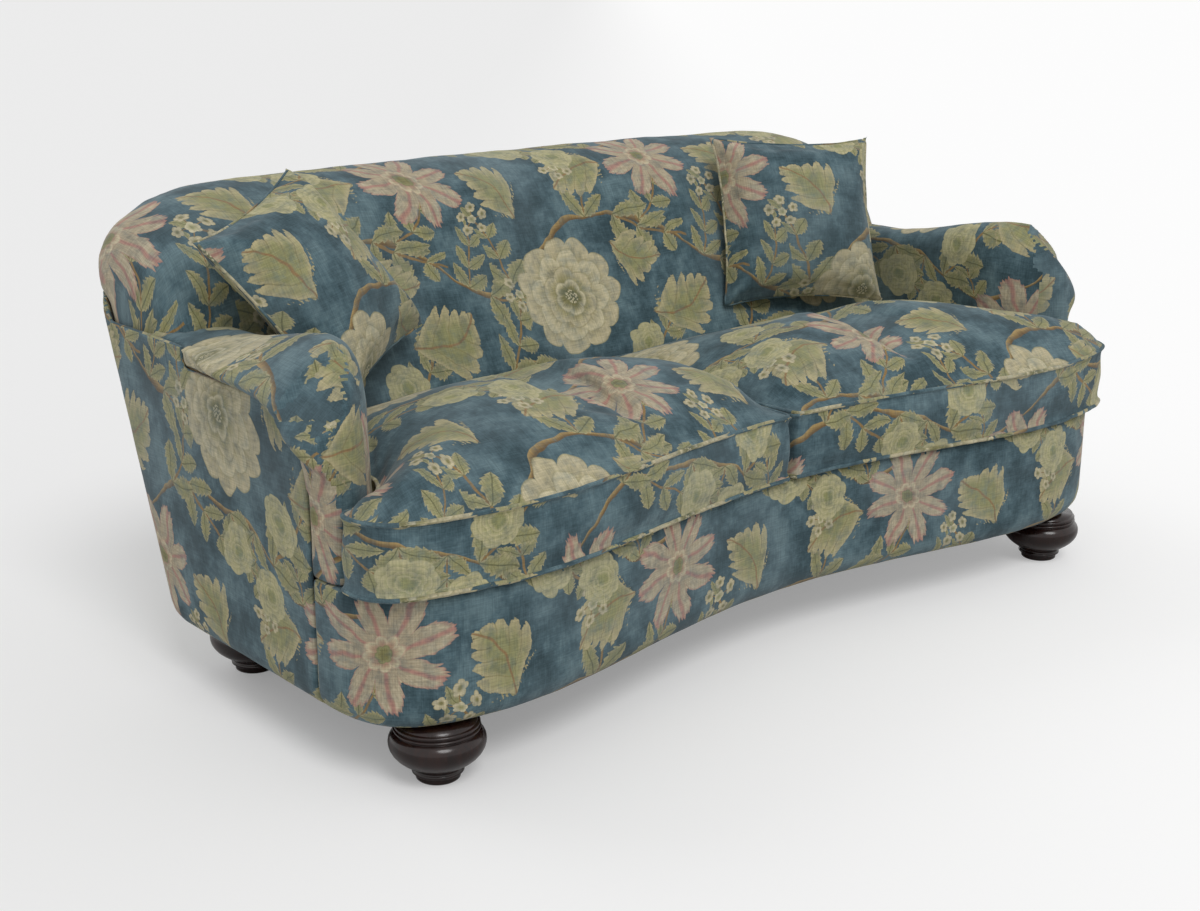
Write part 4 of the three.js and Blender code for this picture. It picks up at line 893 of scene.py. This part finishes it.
for piece, before, hold, panels, nodes, shrink, reach, fill in stuffed:
    ready_to_fill(piece, hold, shrink)
scene.frame_start, scene.frame_end = 1, FRAMES
for number in range(1, FRAMES + 1):
    scene.frame_set(number)
for piece, before, hold, panels, nodes, shrink, reach, fill in stuffed:
    filled(piece, before, reach)
for piece, before, hold, panels, nodes, shrink, reach, fill in stuffed:
    lay_cloth(piece, panels)
    creases(piece, 0.004, size=0.12)
    modify(piece, "SUBSURF", levels=1, render_levels=1)
    bake_modifiers(piece)
    pad(piece, piece.name, nodes)


# Welts: cloth-covered cord sewn into the seams

WELT_STEP = 0.005
WELT_SIDES = 10
SEAT_WELT = 0.0042
PILLOW_WELT = 0.0028


def welt_tree():
    """Turns a line of edges into a cord: evened out, given its thickness, with its finish."""
    tree = bpy.data.node_groups.new("welt cord", "GeometryNodeTree")
    tree.is_modifier = True
    for way, label, kind in (
        ("INPUT", "Line", "Geometry"), ("INPUT", "Radius", "Float"), ("INPUT", "Step", "Float"),
        ("INPUT", "Sides", "Int"), ("INPUT", "Finish", "Material"), ("OUTPUT", "Cord", "Geometry"),
    ):
        tree.interface.new_socket(label, in_out=way, socket_type="NodeSocket" + kind)
    inward, outward = tree.nodes.new("NodeGroupInput"), tree.nodes.new("NodeGroupOutput")
    sizes = inward.outputs
    line = add(tree, "GeometryNodeMeshToCurve", inward)
    even = add(tree, "GeometryNodeResampleCurve", mode="LENGTH")
    place = add(tree, "GeometryNodeInputPosition")
    smooth = add(tree, "GeometryNodeBlurAttribute", place, data_type="FLOAT_VECTOR")
    smooth.inputs["Iterations"].default_value = 4
    evened = add(tree, "GeometryNodeSetPosition", even)
    ring = add(tree, "GeometryNodeCurvePrimitiveCircle", mode="RADIUS")
    tube = add(tree, "GeometryNodeCurveToMesh", evened, ring)
    finish = add(tree, "GeometryNodeSetMaterial", add(tree, "GeometryNodeRealizeInstances", tube))
    for source, node, label in (
        (first(line.outputs), even, "Curve"), (sizes["Step"], even, "Length"),
        (first(smooth.outputs), evened, "Position"), (sizes["Sides"], ring, "Resolution"),
        (sizes["Radius"], ring, "Radius"), (sizes["Finish"], finish, "Material"),
    ):
        tree.links.new(source, node.inputs[label])
    tree.links.new(finish.outputs[0], outward.inputs[0])
    return tree


def run_tree(piece, tree, **values):
    """Runs a geometry tree on a piece, with its inputs by name, and keeps the plain mesh."""
    modifier = modify(piece, "NODES", node_group=tree)
    for item in tree.interface.items_tree:
        if item.in_out == "INPUT" and item.name in values:
            modifier[item.identifier] = values[item.name]
    bake_modifiers(piece)


def cut_line(mesh, point, normal):
    """The line on which a plane cuts a mesh, as a mesh of edges."""
    shape = bmesh.new()
    shape.from_mesh(mesh)
    everything = shape.verts[:] + shape.edges[:] + shape.faces[:]
    cut = bmesh.ops.bisect_plane(shape, geom=everything, plane_co=point, plane_no=normal)["geom_cut"]
    corners = [g for g in cut if isinstance(g, bmesh.types.BMVert)]
    index = {v: i for i, v in enumerate(corners)}
    edges = [[index[v] for v in g.verts] for g in cut if isinstance(g, bmesh.types.BMEdge)]
    line = bpy.data.meshes.new("seam_line")
    line.from_pydata([tuple(v.co) for v in corners], edges, [])
    shape.free()
    return line


def cloth_round(mesh, radius):
    """Gives a cord its own strip of cloth, which runs along it and round it. A tube's points come ring by
    ring, and a face that closes the loop, or the ring, takes the number after the last one."""
    vertex = numbers(mesh.loops, "vertex_index", 1, np.int64)
    places = np.stack(np.divmod(vertex.reshape(-1, 4), WELT_SIDES), 2)
    low, high = places.min(1, keepdims=True), places.max(1, keepdims=True)
    closing = (high - low > 1) & (places == low)
    places = np.where(closing, high + 1, places) * (WELT_STEP, math.tau * radius / WELT_SIDES)
    mesh.uv_layers.new(name="cloth").data.foreach_set("uv", places.astype(np.float32).ravel())


def welt(name, source, point, normal, radius):
    """A cord along the line where a plane cuts a cushion or pillow."""
    cord = new_piece(name, cut_line(source.data, point, normal), "printed_linen")
    finish = FINISHES["printed_linen"]
    run_tree(cord, WELT_TREE, Radius=radius, Step=WELT_STEP, Sides=WELT_SIDES, Finish=finish)
    cloth_round(cord.data, radius)
    settle(cord, source.name)


WELT_TREE = welt_tree()
for side_name in ("right", "left"):
    cushion = bpy.data.objects[f"seat_cushion_{side_name}"]
    for label, height in zip(("lower", "upper"), SEAT_SEAMS):
        welt(f"{label}_welt_{side_name}", cushion, (0, 0, height), (0, 0, 1), SEAT_WELT)
    pillow = bpy.data.objects[f"throw_pillow_{side_name}"]
    middle, right, normal = pillow_axes(f"pillow_cover_{side_name}")
    # The seam's plane goes through the rim: the points that lie furthest out to either side.
    points = points_of(pillow.data)
    out = np.abs((points - middle) @ right)
    rim = points[out > np.quantile(out, 0.985)]
    welt(f"pillow_welt_{side_name}", pillow, tuple(rim.mean(0)), tuple(normal), PILLOW_WELT)


# Turned feet

# Radius and height of each turning from the sole up, as shares of the foot's radius and height.
FOOT_SHARES = [
    (0.43, 0.0), (0.455, 0.015), (0.46, 0.06), (0.45, 0.085), (0.5, 0.1), (0.535, 0.125), (0.54, 0.15),
    (0.52, 0.17), (0.5, 0.185), (0.51, 0.205), (0.56, 0.235), (0.66, 0.28), (0.77, 0.34), (0.86, 0.4),
    (0.93, 0.465), (0.975, 0.53), (0.995, 0.59), (1.0, 0.64), (0.99, 0.69), (0.965, 0.735), (0.93, 0.77),
    (0.895, 0.795), (0.86, 0.808), (0.85, 0.816), (0.875, 0.826), (0.89, 0.84), (0.895, 0.855), (0.88, 0.87),
    (0.845, 0.88), (0.835, 0.888), (0.86, 0.896), (0.88, 0.91), (0.88, 0.93), (0.865, 0.945), (0.83, 0.955),
    (0.82, 0.96), (0.82, 1.0),
]
FOOT_SIDES = 96


def turned_foot(name, node):
    """A bun foot on the lathe: sole, waist, round body, and two beads under the seat."""
    low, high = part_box(node)
    middle, radius, height = (low + high) / 2, (high.x - low.x) / 2, high.z - low.z
    shape = bmesh.new()
    outline = [(0.0, 0.0), *FOOT_SHARES, (0.0, 1.0)]
    points = [shape.verts.new((middle.x + r * radius, middle.y, low.z + z * height)) for r, z in outline]
    edges = [shape.edges.new(pair) for pair in zip(points, points[1:])]
    lathe = {"cent": middle, "axis": (0, 0, 1), "angle": math.tau, "steps": FOOT_SIDES, "use_merge": True}
    bmesh.ops.spin(shape, geom=points + edges, **lathe)
    bmesh.ops.remove_doubles(shape, verts=shape.verts, dist=1e-6)
    bmesh.ops.recalc_face_normals(shape, faces=shape.faces)
    foot = new_piece(name, finished(shape, name), "foot_wood")
    settle(foot, "sofa_frame")
    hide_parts(node)


for place in ("front_right", "front_left", "rear_right", "rear_left"):
    turned_foot(f"turned_foot_{place}", f"foot_{place}")


# The deck under the cushions and the cloth under the frame

deck = padding_over("spring_deck", ["seat_deck"], "deck_cloth", voxel=0.012)
creases(deck, 0.004, size=0.1)
pad(deck, "sofa_frame", ["seat_deck"])


def stretched_cloth(name, node, finish):
    """A flat cloth tacked up tight on every side, cut to the shape of its CAD solid."""
    shape = copied([node], 1e-6)
    area = sum(face.calc_area() for face in shape.faces if face.normal.z > 0.5)
    cloth = new_piece(name, finished(shape, name), finish)
    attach(cloth, "sofa_frame")
    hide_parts(node)


stretched_cloth("cambric_dust_cover", "dust_cover", "black_cambric")


# What stays as the CAD has it gets its finish

SHOWING = {"spring": "spring_steel", "bolt": "spring_steel", "web": "jute_webbing"}
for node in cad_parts.values():
    if not node.hide_render:
        dress(node.data, next((slot for word, slot in SHOWING.items() if word in node.name), "frame_wood"))


# Camera, floor and light

PHOTO_WIDTH = 1200
FOCAL_PIXELS = 1742.03
SENSOR = 36.0
CAMERA_AT = (-2.39505, FEET_Y - 2.22579, 1.36935)
CAMERA_TURN = (90 - 16.52, 0.0, -40.61)

camera = bpy.data.objects.new("camera", bpy.data.cameras.new("camera"))
scene.collection.objects.link(camera)
camera.location = CAMERA_AT
camera.rotation_euler = [math.radians(a) for a in CAMERA_TURN]
camera.data.sensor_width = SENSOR
camera.data.lens = FOCAL_PIXELS * SENSOR / PHOTO_WIDTH
camera.data.clip_end = 500
scene.camera = camera

FLOOR = 150.0
# The paper is painted lighter on one side of the sofa than on the other: a painted fall-off of light. Along a
# line across the floor, from so far on one side of the sofa's middle to so far on the other, it glows from
# the lower strength to the higher, for the camera alone.
PAINTED_LIGHT_TOWARDS = (0.759, -0.651, 0.0)
PAINTED_LIGHT_FROM, PAINTED_LIGHT_TO = -1.3, 1.5
GLOW_LOW, GLOW_HIGH = 0.21, 0.35


def emptied(block):
    """The node tree of a material or world, with nothing in it."""
    block.use_nodes = True
    block.node_tree.nodes.clear()
    return block.node_tree


floor_mesh = bpy.data.meshes.new("floor")
edge = ((-FLOOR, -FLOOR, 0), (FLOOR, -FLOOR, 0), (FLOOR, FLOOR, 0), (-FLOOR, FLOOR, 0))
floor_mesh.from_pydata(edge, [], [(0, 1, 2, 3)])
floor = bpy.data.objects.new("floor", floor_mesh)
scene.collection.objects.link(floor)
floor_finish = bpy.data.materials.new("studio_paper")
floor_mesh.materials.append(floor_finish)
tree = emptied(floor_finish)
# Painted light: the paper glows more towards one side, for the camera alone.
across = add(tree, "VectorMath.DOT_PRODUCT", add(tree, "TexCoord").outputs["Object"], PAINTED_LIGHT_TOWARDS)
between = (PAINTED_LIGHT_FROM, PAINTED_LIGHT_TO, GLOW_LOW, GLOW_HIGH)
glow = add(tree, "MapRange", across, *between, interpolation_type="SMOOTHSTEP")
shown = add(tree, "Math.MULTIPLY", glow, add(tree, "LightPath").outputs["Is Camera Ray"])
paper = add(tree, "AddShader", add(tree, "BsdfDiffuse", "#d9d9d9"), add(tree, "Emission", None, shown))
add(tree, "OutputMaterial", paper)

# The world lights the sofa softly, and is plain white where the camera or a gloss sees it.
WORLD_LIGHT = 0.56
scene.world = bpy.data.worlds.new("studio")
tree = emptied(scene.world)
seen = add(tree, "LightPath").outputs
white = add(tree, "Math.MAXIMUM", seen["Is Camera Ray"], seen["Is Glossy Ray"])
strength = add(tree, "MapRange", white, 0.0, 1.0, WORLD_LIGHT, 1.0)
add(tree, "OutputWorld", add(tree, "Background", "#ffffff", strength))


def sun(name, power, width, azimuth, height):
    """A soft far lamp. Azimuth 0 stands in front of the sofa and 90 at its right end, in degrees."""
    light = bpy.data.lights.new(name, "SUN")
    light.energy = power
    light.angle = math.radians(width)
    lamp = bpy.data.objects.new(name, light)
    scene.collection.objects.link(lamp)
    a, e = math.radians(azimuth), math.radians(height)
    towards = Vector((math.sin(a) * math.cos(e), -math.cos(a) * math.cos(e), math.sin(e)))
    lamp.rotation_mode = "QUATERNION"
    lamp.rotation_quaternion = towards.to_track_quat("Z", "Y")


sun("key_light", power=1.15, width=25, azimuth=-15, height=50)
sun("rim_light", power=0.3, width=30, azimuth=200, height=40)

scene.view_settings.view_transform = "Standard"
